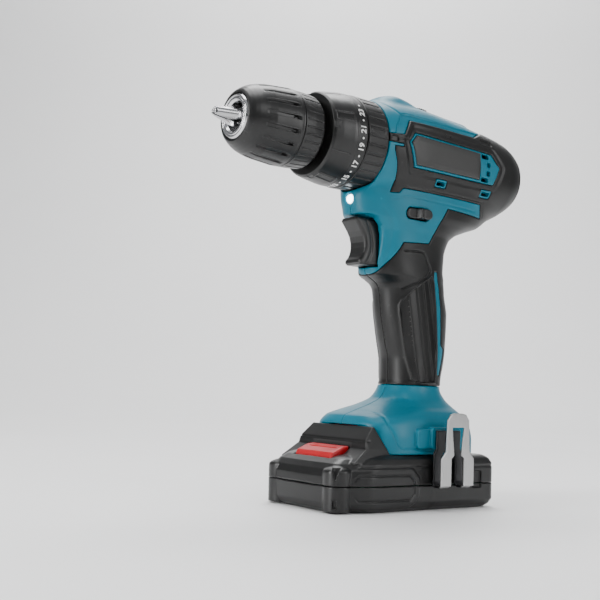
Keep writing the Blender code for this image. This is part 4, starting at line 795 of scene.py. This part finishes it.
chrome = brushed_metal("polished_nose", (0.55, 0.55, 0.56), (0.7, 0.7, 0.71), (0.1, 0.2), (3000, 40, 40), 0.0000015)
ground = brushed_metal("ground_jaw", (0.4, 0.4, 0.41), (0.56, 0.56, 0.57), (0.16, 0.28), (60, 2500, 2500), 0.000002)
core = skin("chuck_core", chuck_core, (-111.6, -16, AXIS_Z - 16), (-64.8, 16, AXIS_Z + 16), 0.4)
show(core, "spindle", "chuck_body", chrome)
for number, turn in enumerate(JAW_TURNS, 1):
    piece = skin(f"ground_jaw_{number}", jaw, (-124, -3.6, -1), (-85, 3.6, 15), 0.25)
    piece.data.transform(Matrix.Translation((0, 0, AXIS_Z * MM)) @ Matrix.Rotation(turn, 4, "X"))
    show(piece, f"jaw_{number}", f"jaw_{number}", ground)


def apart(angle, count, offset):
    """Degrees from the nearest of the evenly spaced marks."""
    pitch = 360 / count
    return np.abs((angle - offset + pitch / 2) % pitch - pitch / 2)


def sleeve_slots(x, radius, angle):
    """Long finger slots that deepen to the rear, each with a blunt end and a pit."""
    outer = fade(radius - 18.6, 0.4)
    slot = fade(2.9 - apart(angle, 18, 1), 0.7) * fade(x + 105.5, 2) * fade(-81.4 - x, 1.2)
    depth = 0.25 + 0.8 * fade(x + 105.5, 24)
    pit = 1.8 * fade(2.2 - apart(angle, 18, 1), 0.8) * fade(x + 86, 0.8) * fade(-82.6 - x, 0.6)
    line = fade(0.5 - apart(angle, 18, 6), 0.35) * fade(x + 104, 1) * fade(-83 - x, 0.5)
    return -outer * (slot * depth + 0.5 * pit + 0.12 * line) - 0.25 * fade(0.35 - np.abs(x + 79.9), 0.3) * outer


def rear_ribs(x, radius, angle):
    """Fine grip ribs round the rear sleeve."""
    along_rib = fade(x + 77.2, 0.5) * fade(-65.9 - x, 0.6)
    return -0.45 * fade(radius - 18.8, 0.4) * fade(1.6 - apart(angle, 32, 4), 0.7) * along_rib


sleeve_black = finish_of("sleeve_nylon", (0.006, 0.006, 0.006), (0.0045, 0.0045, 0.0045), (0.03, 0.03, 0.03),
                         (0.3, 0.38), size=0.02, edge_wear_and_painted_highlight=0.5, grain=0.0004, depth=0.000005, shine=0.45)
sleeve = turned("front_sleeve", [
    (-110.4, 12.6), (-110.4, 13.4), (-109.4, 14.6), (-107.6, 16.0), (-105.4, 17.3), (-103.2, 18.3), (-100.6, 19.1),
    (-96.4, 20), (-89.6, 20.6), (-82.7, 21.2), (-78.9, 21.2), (-78.9, 17.5), (-98, 17.5), (-98, 13.5), (-101.4, 12.6),
], sleeve_slots, segments=1080)
show(sleeve, "chuck_sleeve", "chuck_sleeve", sleeve_black)
collar = turned("rear_sleeve", [
    (-78.5, 17.5), (-78.5, 21.1), (-72, 20.95), (-66.1, 20.5), (-64.6, 19.6), (-64.1, 18.6), (-64.1, 15.8),
    (-68.1, 15.8), (-68.1, 17.5),
], rear_ribs, segments=960)
show(collar, "spindle", "chuck_rear_sleeve", sleeve_black)


# ---- Torque ring and mode ring ----
# Two nylon rings that click round the gear case: the torque ring with its printed numbers, and
# the mode ring behind it with its grip ribs.

def torque_marks(x, radius, angle):
    """A raised thumb block, a step and a fine line, four times round."""
    outer = fade(radius - 22.6, 0.4)
    turn = (angle + 45) % 90 - 45
    block_edge = np.maximum(slab(x, -60.2, -47.6), slab(turn, 9.5, 22.5) * 0.43)
    rim = 0.45 * fade(0.7 - np.abs(block_edge + 0.7), 0.35) + 0.2 * fade(-block_edge, 0.4)
    line = 0.3 * fade(0.8 - np.abs(turn + 30), 0.5) * fade(x + 60.5, 0.6) * fade(-48.6 - x, 0.6)
    step = 0.35 * fade(-np.maximum(slab(x, -61, -57.8), slab(turn, -1, 8) * 0.43), 0.3)
    band = 0.12 * fade(0.3 - np.abs(x + 46.3), 0.2)
    return outer * (rim - line - step - band)


def mode_ribs(x, radius, angle):
    """Broad grip ribs with narrow grooves, and one framed rib as a pointer."""
    outer = fade(radius - 25.6, 0.3)
    along_rib = fade(x + 38.2, 0.5) * fade(-25.9 - x, 0.5)
    groove = fade(1.7 - apart(angle, 32, 10.1), 0.6) * along_rib
    frame_line = np.maximum(slab(x, -37, -27.2), slab((angle + 180) % 360 - 180, 1.2, 7.8) * 0.46)
    return -outer * (0.6 * groove + 0.35 * fade(0.3 - np.abs(frame_line), 0.2))


ring_black = finish_of("ring_nylon", (0.005, 0.005, 0.005), (0.004, 0.004, 0.004), (0.028, 0.028, 0.028), (0.3, 0.38),
                       size=0.025, edge_wear_and_painted_highlight=0.5, grain=0.0004, depth=0.000005, shine=0.45)
torque = turned("torque_dial", [
    (-61.4, 13.5), (-61.4, 22.8), (-60.2, 24), (-55.8, 24.9), (-51.4, 25.6), (-48.4, 26.1), (-45.5, 26.35),
    (-39.7, 26.4), (-39.7, 22.5), (-58.4, 22.5), (-58.4, 13.5),
], torque_marks, segments=1080)
show(torque, "torque_ring", "torque_ring", ring_black)
mode = turned("mode_dial", [
    (-39.3, 22.5), (-39.3, 26.1), (-38.7, 26.7), (-24.9, 26.7), (-24.1, 25.9), (-24.1, 22.5),
], mode_ribs, segments=1080)
show(mode, "mode_ring", "mode_ring", ring_black)


PRINT_X, PRINT_RISE, PRINT_SINK = -43.0, 0.35, 0.25  # middle of the numbers, their body, and how much is let in


def dial_print():
    """The printed numbers and dots, bent round the torque ring."""
    points, faces = [], []
    marks = [(str(2 * step + 1), -63 + 22 * (step - 7), 4.9) for step in range(12)]
    marks += [("dot", -52 + 22 * (step - 7), 0) for step in range(12)]
    for label, centre, size in marks:
        if label == "dot":
            flat = [(0.6 * math.cos(a), 0.6 * math.sin(a)) for a in np.linspace(0, math.tau, 16, endpoint=False)]
            shape = bpy.data.meshes.new("dot")
            shape.from_pydata([(u, v, 0) for u, v in flat], [], [tuple(range(16))])
        else:
            text = bpy.data.curves.new("number", "FONT")
            text.body, text.size, text.align_x, text.align_y = label, size, "CENTER", "CENTER"
            text.offset, text.resolution_u = 0.1, 3
            holder = bpy.data.objects.new("number", text)
            bpy.context.scene.collection.objects.link(holder)
            seen = holder.evaluated_get(bpy.context.evaluated_depsgraph_get())
            shape = bpy.data.meshes.new_from_object(seen)
            bpy.data.objects.remove(holder)
        solid = bmesh.new()
        solid.from_mesh(shape)
        bmesh.ops.dissolve_limit(solid, angle_limit=0.02, verts=solid.verts, edges=solid.edges)
        bmesh.ops.triangulate(solid, faces=solid.faces)
        top = bmesh.ops.extrude_face_region(solid, geom=solid.faces[:])
        for vertex in top["geom"]:
            if isinstance(vertex, bmesh.types.BMVert):
                vertex.co.z += PRINT_RISE
        bmesh.ops.recalc_face_normals(solid, faces=solid.faces)
        solid.verts.ensure_lookup_table()
        base = len(points)
        for vertex in solid.verts:
            x = PRINT_X - vertex.co.y
            surface = 26.35 + 0.05 * (x + 45.5) / 5.8
            turn = math.radians(centre) + vertex.co.x / surface
            radius = surface - PRINT_SINK + vertex.co.z
            points.append((x, -radius * math.cos(turn), AXIS_Z + radius * math.sin(turn)))
        faces += [tuple(base + vertex.index for vertex in face.verts) for face in solid.faces]
        solid.free()
        bpy.data.meshes.remove(shape)
    return mesh_piece("dial_numbers", np.array(points) * MM, faces, smooth=False)


numbers = dial_print()
numbers.data.materials.append(finish_of("white_print", (0.8, 0.8, 0.78), (0.74, 0.74, 0.72), (0.85, 0.85, 0.85),
                                        (0.4, 0.5), grain=0.0003, depth=0.000003))
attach(numbers, "torque_ring")


# ---- Trigger, direction lever and speed selector ----
# Moulded controls: the trigger has a scooped finger face, the lever is a two-step cross slide,
# and the selector is a ribbed thumb slide on top.

TRIGGER_OUTLINE = [
    (-9, 161.3), (-14, 162.8), (-29, 162.8), (-29.8, 161), (-27.4, 158), (-25, 155), (-23.4, 152.3), (-22.4, 149),
    (-22.2, 146), (-22.8, 143), (-24, 140.6), (-25.6, 138.8), (-26, 137), (-24.4, 135.8), (-9, 135.8),
]
TRIGGER_FACE = [(-22.5, 162), (-20.2, 158), (-18.4, 153), (-17.5, 148), (-17.8, 143), (-19.6, 139.4), (-21.5, 136)]


def trigger(x, y, z):
    """The trigger with its scooped face, a groove down each side, and its stem into the switch."""
    side = outline(x, z, TRIGGER_OUTLINE)
    groove = 0.5 * np.exp(-(trace(x, z, TRIGGER_FACE) / 0.6) ** 2)
    step = 0.35 * fade(-outline(x, z, [(-40, 166), *TRIGGER_FACE, (-40, 132)]), 0.8)
    shape = meet(side, slab(y, -7.75, 7.75) + groove + step, 2.4)
    stem = np.maximum(np.sqrt(y * y + (z - 149) ** 2) - 2.2, slab(x, -10, 8))
    return np.minimum(shape, stem)


def lever(x, y, z):
    """The direction lever: a low rounded slide with a raised, grooved paddle behind."""
    side = window(x, z, -2.6, 164.4, 14.5, 170.2, 2.8)
    paddle = fade(x - 4.2, 1.2)
    grooves = 0.4 * np.exp(-((x - 7.4) / 0.5) ** 2)
    reach_left, reach_right = -20.8 - 3.1 * paddle + grooves, 18 - grooves
    middle, half = (reach_left + reach_right) / 2, (reach_right - reach_left) / 2
    return meet(side, np.abs(y - middle) - half, 1.0)


def selector(x, y, z):
    """The speed selector: a thumb block with cross grooves on a guide plate."""
    grooves = 0.0
    for at in (19.0, 20.7, 22.4, 24.1):
        grooves = grooves + 0.5 * np.exp(-((x - at) / 0.42) ** 2)
    top = 236.8 - grooves - 0.03 * (x - 21.5) ** 2
    block_form = meet(meet(slab(x, 17.1, 25.9), slab(y, -4.9, 4.9), 0.8), np.maximum(z - top, 231 - z), 0.6)
    plate = np.maximum(np.maximum(slab(x, 13.1, 29.9), slab(y, -6.1, 6.1)), slab(z, 229.7, 231.7))
    return np.minimum(block_form, plate)


control_black = finish_of("control_nylon", (0.010, 0.010, 0.010), (0.008, 0.008, 0.008), (0.04, 0.04, 0.04),
                          (0.32, 0.4), size=0.02, edge_wear_and_painted_highlight=0.5, grain=0.0004, depth=0.000005)
for name, form, low, high, step, control in (
    ("trigger_lever", trigger, (-31.5, -8.4, 135), (8.8, 8.4, 163.6), 0.35, "trigger"),
    ("direction_slide", lever, (-3.6, -24.6, 162.4), (15.6, 18.6, 172), 0.3, "direction_lever"),
    ("speed_slide", selector, (12.4, -6.8, 229), (30.6, 6.8, 239.2), 0.25, "speed_selector"),
):
    show(skin(name, form, low, high, step), control, control, control_black)


# ---- Battery pack ----
# A slide-on pack: two moulded nylon case halves screwed together at the seam, a sloping nose and a
# railed tower above, and the red release button in its room at the front.

CASE_LOW, CASE_HIGH = 13.85, 14.3  # the two edges at the seam of the case
LOWER = [(0, -54, 55, 32.5), (2, -57, 57.6, 35.1), (5, -58.4, 59, 36.5), (14, -59, 59, 36.5)]
UPPER = [
    (CASE_HIGH, -59, 59, 36.5), (19, -58.8, 59, 36.5), (22.5, -57.6, 59, 36.5), (25.5, -54.8, 58.8, 36.3),
    (28, -50.4, 57.6, 35.1), (30, -45, 55.5, 33),
]
NOSE = [(26, -47, -17.9, 32), (33.4, -36.6, -21.9, 30), (37.6, -36.2, -24.1, 28.5), (45, -29.2, -28.1, 26)]
LABEL = [(-44, 19.7), (-10, 19.7), (-6.7, 16.6), (-6.7, 9.6), (-10, 6.4), (-44, 6.4), (-47.4, 9.6), (-47.4, 16.6)]


def pack_side(x, y, z, levels):
    """The pack's outline at each height: broad chamfers in front, round corners behind."""
    at, front, rear, half = columns(levels)
    ahead = x - np.interp(z, at, front) - 0.0012 * y * y
    behind, beside = np.interp(z, at, rear) - x, np.interp(z, at, half) - np.abs(y)
    side = meet(-ahead, -beside, 1.0)
    side = meet(side, 9.4 - 0.6 * ahead - 0.8 * beside, 3.0)
    side = meet(side, 7.6 - 0.447 * ahead - 0.894 * beside, 3.0)
    round_rear = np.sqrt(np.maximum(6 - behind, 0) ** 2 + np.maximum(6 - beside, 0) ** 2) - 6
    round_rear = np.maximum(round_rear, np.maximum(-behind, -beside))
    lean = np.where(ahead < beside, (np.interp(z + 0.2, at, front) - np.interp(z - 0.2, at, front)) / 0.4, 0)
    return np.maximum(side, round_rear) / np.sqrt(1 + np.minimum(lean ** 2, 5))


def pack_marks(x, y, z):
    """Grooves and recesses in the pack's sides and corners, as a depth under its skin."""
    label = outline(x, z, LABEL)
    depth = 0.7 * np.exp(-(label / 0.45) ** 2) + 0.5 * fade(label - 3.2, 1.0) * fade(17 - label, 4)
    depth = depth + 1.4 * fade(-window(x, z, 38.5, 11.5, 46.5, 21.3, 0.8), 0.4)
    depth = depth + 0.35 * np.exp(-((z - 23.9) / 0.5) ** 2)
    return depth * fade(-np.abs(np.abs(y) - 40) + 8, 0.5)


def posts(x, y, z, top):
    """The screw posts in the front corners, each with a domed top, a notch above and a slot below."""
    u, v = x + 51.4, np.abs(y) - 24.2
    far = np.sqrt(u * u + v * v)
    post = meet(far - 7.7 - 0.02 * (z - 12), z - top + far * far / 26, 1.2)
    across = np.maximum(np.abs(0.66 * u + 0.75 * v) - 1.1, 5.8 - far)
    low = np.maximum(across, slab(z, 3.0, 7.2))
    high = np.maximum(across - 0.3 * (z - 20), 17.6 - z)
    return np.maximum(post, -np.minimum(low, high))


def lower_case(x, y, z):
    """The lower half of the case, open above."""
    side = pack_side(x, y, z, LOWER)
    case = meet(side + pack_marks(x, y, z), -z, 1.0)
    case = merge(case, np.maximum(posts(x, y, z, 40), 1.0 - z), 0.5)
    case = np.maximum(case, z - CASE_LOW)
    return carve(case, np.maximum(side + 2.2, 2.0 - z), 0.5)


def upper_case(x, y, z):
    """The upper half with its nose, rails and tower."""
    side = pack_side(x, y, z, UPPER)
    case = meet(side + pack_marks(x, y, z), z - 30, 2.4)
    case = merge(case, posts(x, y, z, 24.6), 0.5)
    case = np.maximum(case, CASE_HIGH - z)
    at, front, rear, half = columns(NOSE)
    slope = np.interp(z, at, front)
    nose = meet(slope - x, np.abs(y) - np.interp(z, at, half), 0.8) * 0.85
    nose = meet(nose, x - np.interp(z, at, rear) + 0.3, 0.3)
    nose = meet(np.maximum(nose, 25.5 - z), z - 44.9, 0.4)
    nose = nose + 0.35 * np.exp(-((z - 37.4) / 0.4) ** 2) * np.where(x < slope + 3, 1, 0)
    case = merge(case, nose, 0.6)
    neck = np.maximum(np.maximum(np.abs(y) - 20, slab(z, 26, 42.7)), slab(x, -28, 22))
    rail = np.maximum(np.maximum(np.abs(y) - 24, slab(z, 36.2, 42.7)), slab(x, -28, 22))
    case = merge(case, meet(np.minimum(neck, rail), z - 42.7, 0.5), 0.3)
    case = carve(case, np.maximum(side + 2.4, z - 27.6), 0.5)
    for low, high, blend in (  # the tower's room, and the rooms of the button, its arm and its hook
        ((-20, -18, 25), (20, 18, 40.7), 0.5), ((-50.2, -16.5, 20), (-36.4, 16.5, 36), 0.5),
        ((-38, -11.5, 20), (-23.2, 11.5, 32), 0.3), ((-28.6, -11.5, 20), (-23.2, 11.5, 50), 0.3),
    ):
        case = carve(case, block(x, y, z, low, high), blend)
    return case


BUTTON = [(-37, 26.5), (-37, 34), (-41, 33.6), (-48, 30.6), (-49.3, 28.6), (-49.3, 26.5)]


def latch(x, y, z):
    """The release button with its grooved top, its arm and its hook."""
    grooves = 0.0
    for at in (-39.2, -40.9, -42.6):
        grooves = grooves + 0.45 * np.exp(-((x - at) / 0.4) ** 2) * fade(12.5 - np.abs(y), 1)
    button = meet(outline(x, z, BUTTON) + grooves * fade(z - 31, 1), np.abs(y) - 15.9, 1.2)
    arm = np.maximum(np.maximum(slab(x, -40, -24), np.abs(y) - 11), slab(z, 26.5, 29.5))
    hook = np.maximum(np.maximum(slab(x, -28, -24), np.abs(y) - 11), slab(z, 26.5, 45))
    hook = meet(hook, (z - 43.2 - (x + 28) * 0.6) * 0.85, 0.2)
    return np.minimum(button, np.minimum(arm, hook))


def coil(name, low, high, wire, turns):
    """A coil of round wire standing between two heights (metres)."""
    middle, radius = (low + high) / 2, (high.x - low.x - wire) / 2
    steps, sides = 32 * turns, 12
    rings, faces = [], []
    for step in range(steps + 1):
        a = math.tau * turns * step / steps
        out, up = Vector((math.cos(a), math.sin(a), 0)), Vector((0, 0, 1))
        at = Vector((middle.x, middle.y, low.z + wire / 2 + (high.z - low.z - wire) * step / steps)) + out * radius
        rings += [at + (out * math.cos(b) + up * math.sin(b)) * wire / 2 for b in np.arange(sides) * math.tau / sides]
    for step in range(steps):
        for side in range(sides):
            near, far = step * sides, (side + 1) % sides
            faces.append((near + side, near + far, near + sides + far, near + sides + side))
    faces += [tuple(range(sides))[::-1], tuple(steps * sides + side for side in range(sides))]
    return mesh_piece(name, rings, faces)


case_black = finish_of("case_nylon", (0.008, 0.008, 0.008), (0.0065, 0.0065, 0.0065), (0.035, 0.035, 0.035),
                       (0.3, 0.38), size=0.04, edge_wear_and_painted_highlight=0.4, grain=0.0005, depth=0.000004, shine=0.45)
button_red = finish_of("button_red", (0.46, 0.006, 0.012), (0.40, 0.005, 0.010), (0.6, 0.05, 0.05), (0.36, 0.44),
                       size=0.02, edge_wear_and_painted_highlight=0.3, grain=0.0004, depth=0.000005, shine=0.4)
show(skin("case_bottom", lower_case, (-60, -37.6, -0.7), (60, 37.6, 14.6), 0.5), "battery", "battery_lower_case",
     case_black)
show(skin("case_top", upper_case, (-60, -37.6, 13.6), (60, 37.6, 45.8), 0.5), "battery", "battery_upper_case",
     case_black)
show(skin("release_button", latch, (-50, -16.6, 25.8), (-23, 16.6, 45.7), 0.35), "battery_latch", "battery_latch",
     button_red)
low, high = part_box("latch_spring")
spring = coil("latch_coil", low, high, 0.8 * MM, 2)
show(spring, "battery", "latch_spring", spring_steel)
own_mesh(spring)


# ---- Belt clip ----
# One strip of spring steel, cut, bent into two legs under a bridge, brushed and plated.
# Its inner plate is held to the foot by one screw.

OUTER_PLATE = [
    (4, 13.8), (12.2, 13.8), (12.2, 29), (14.3, 30.5), (12.4, 45.8), (21.6, 45.8), (19.7, 30.5), (21.8, 29),
    (21.8, 13.8), (30, 13.8), (30, 29), (26.4, 33), (25.6, 50), (23, 53.4), (20, 54), (14, 54), (11, 53.4),
    (8.4, 50), (7.6, 33), (4, 29),
]
INNER_PLATE = [
    (5.6, 13.8), (11.4, 13.8), (11.4, 29), (13, 31.5), (21, 31.5), (22.6, 29), (22.6, 13.8), (28.4, 13.8),
    (28.4, 31), (26.5, 34), (26.5, 44), (7.5, 44), (7.5, 34), (5.6, 31),
]


OUTER_Y, INNER_Y = (-45.5, -44.3), (-38.2, -37)  # the faces of the two plates, 1.2 thick
BEND_Y, BEND_Z, BEND_RADIUS = -41.25, 16.15, 2.75


def clip(x, y, z):
    """The bent strip: outer plate, inner plate and the two bends below."""
    outer_plate = meet(outline(x, z, OUTER_PLATE, -0.2), slab(y, *OUTER_Y), 0.3)
    inner_plate = meet(outline(x, z, INNER_PLATE, -0.2), slab(y, *INNER_Y), 0.3)
    inner_plate = carve(inner_plate, np.sqrt((x - 17) ** 2 + (z - 39.6) ** 2) - 1.9, 0.2)
    bend = np.sqrt(np.maximum(np.abs(y - BEND_Y) - 0.9, 0) ** 2 + np.minimum(z - BEND_Z, 0) ** 2)
    bend = np.maximum(np.abs(bend - BEND_RADIUS) - 0.6, z - BEND_Z)
    legs = np.minimum(slab(x, 5.2, 11.6), slab(x, 22.4, 28.8))
    return np.minimum(np.minimum(outer_plate, inner_plate), meet(bend, legs, 0.3))


clip_steel = brushed_metal("brushed_clip", (0.4, 0.4, 0.4), (0.54, 0.54, 0.54), (0.3, 0.42), (2200, 2200, 70))
tree = clip_steel.node_tree
steel = tree.nodes["Principled BSDF"]
# painted shade: a mask by place along Y picks out the inner plate, which sits in shadow
inside = placed(tree.nodes, PLACE_MASK, Axis=(0, 1, 0), Start=-0.0438, End=-0.0425)
painted_inner_shade = mixed(tree.nodes, second=(0.05, 0.05, 0.052))  # painted shade: the inner plate sits in shadow between the outer plate and the foot, and is darkened to near black
tree.links.new(steel.inputs["Base Color"].links[0].from_socket, painted_inner_shade.inputs[6])
wire(tree, (inside, "Mask", painted_inner_shade, "Factor"), (painted_inner_shade, 2, steel, "Base Color"))
show(skin("spring_clip", clip, (3.2, -46.3, 12), (30.8, -36.2, 54.8), 0.35), "drill", "belt_clip",
     clip_steel)
low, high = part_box("clip_screw")
screw = skin("clip_fixing", lambda x, y, z: screw_form(x, -y, z, 7.0, 2.8, 1.0, SHANK),
             (-3.2, -1.6, -3.2), (3.2, 7.6, 3.2), 0.2)
screw.data.transform(Matrix.Translation(((low.x + high.x) / 2, low.y + 1.0 * MM, (low.z + high.z) / 2)))
show(screw, "drill", "clip_screw", zinc)


# ---- Floor, light and camera ----
# A pale seamless sheet in a pale room. Four soft boxes stand left, right, overhead and ahead of the
# tool, and a fifth washes the sheet behind it.

def soft_light(name, place, target, wide, tall, power):
    """A soft box aimed at a point."""
    data = bpy.data.lights.new(name, "AREA")
    data.shape, data.size, data.size_y = "RECTANGLE", wide, tall
    data.energy = power
    light = bpy.data.objects.new(name, data)
    light.location = place
    light.rotation_euler = (Vector(target) - Vector(place)).to_track_quat("-Z", "Y").to_euler()
    bpy.context.scene.collection.objects.link(light)
    return light


def backdrop():
    """A seamless sheet: flat under the tool and curving up far behind it."""
    rows = [(-3, 0), (-1, 0), (0, 0), (1.2, 0)]
    rows += [(1.2 + 1.2 * math.sin(a), 1.2 - 1.2 * math.cos(a)) for a in np.linspace(0.1, math.pi / 2, 16)]
    rows += [(2.4, 4)]
    turn = Matrix.Rotation(-0.65, 4, "Z")
    points = [turn @ Vector((side, far, up)) for far, up in rows for side in (-4, 4)]
    faces = [(2 * i, 2 * i + 1, 2 * i + 3, 2 * i + 2) for i in range(len(rows) - 1)]
    return mesh_piece("backdrop", points, faces)


floor = backdrop()
floor.data.materials.append(finish_of("pale_floor", (0.9, 0.9, 0.9), (0.88, 0.88, 0.88), (0.9, 0.9, 0.9), (0.5, 0.6),
                                      size=0.5, edge_wear_and_painted_highlight=0.0))
for name, place, target, wide, tall, power in (
    ("left", (-0.95, 0.1, 0.3), (0, 0, 0.12), 0.2, 0.8, 8.5),
    ("right", (0.5, -1.0, 0.45), (0.02, 0, 0.13), 0.22, 0.7, 4),
    ("top", (-0.1, 0.1, 1.0), (0, 0, 0.14), 0.7, 0.5, 7),
    ("front", (-0.25, -1.1, 0.75), (0, 0, 0.12), 0.7, 0.5, 3.5),
    ("wash", (0.9, 1.0, 2.4), (1.3, 1.7, 0.6), 1.5, 1.5, 70),
):
    soft_light(name, place, target, wide, tall, power)
world = bpy.data.worlds.new("soft_room")  # brighter overhead, dim low down
world.use_nodes = True
tree = world.node_tree
nodes = tree.nodes
room, paper = nodes["Background"], nodes.new("ShaderNodeBackground")
room.inputs["Color"].default_value = (0.95, 0.97, 1.0, 1)
paper.inputs["Color"].default_value = (0.9, 0.9, 0.9, 1)  # the pale room, seen past the sheet's edges
where, split = nodes.new("ShaderNodeTexCoord"), nodes.new("ShaderNodeSeparateXYZ")
climb = ranged(nodes, -0.1, 0.9, 0.08, 0.45)
seen, choice = nodes.new("ShaderNodeLightPath"), nodes.new("ShaderNodeMixShader")
wire(tree, (where, "Generated", split, 0), (split, "Z", climb, "Value"), (climb, 0, room, "Strength"),
     (seen, "Is Camera Ray", choice, 0), (room, 0, choice, 1), (paper, 0, choice, 2),
     (choice, 0, nodes["World Output"], 0))
bpy.context.scene.world = world

yaw, pitch, roll, stand = 0.65183, 0.09376, 0.03981, (-0.37405, -0.40856, 0.0639)
ahead = Vector((math.cos(pitch) * math.sin(yaw), math.cos(pitch) * math.cos(yaw), math.sin(pitch)))
across = ahead.cross(Vector((0, 0, 1))).normalized()
upright = across.cross(ahead)
right_way = across * math.cos(roll) + upright * math.sin(roll)
up_way = upright * math.cos(roll) - across * math.sin(roll)
camera = bpy.data.objects.new("camera", bpy.data.cameras.new("camera"))
camera.data.lens = 56.63
camera.data.clip_start = 0.01
turn = Matrix((right_way, up_way, -ahead)).transposed().to_4x4()
camera.matrix_world = Matrix.Translation(stand) @ turn
bpy.context.scene.collection.objects.link(camera)
bpy.context.scene.camera = camera
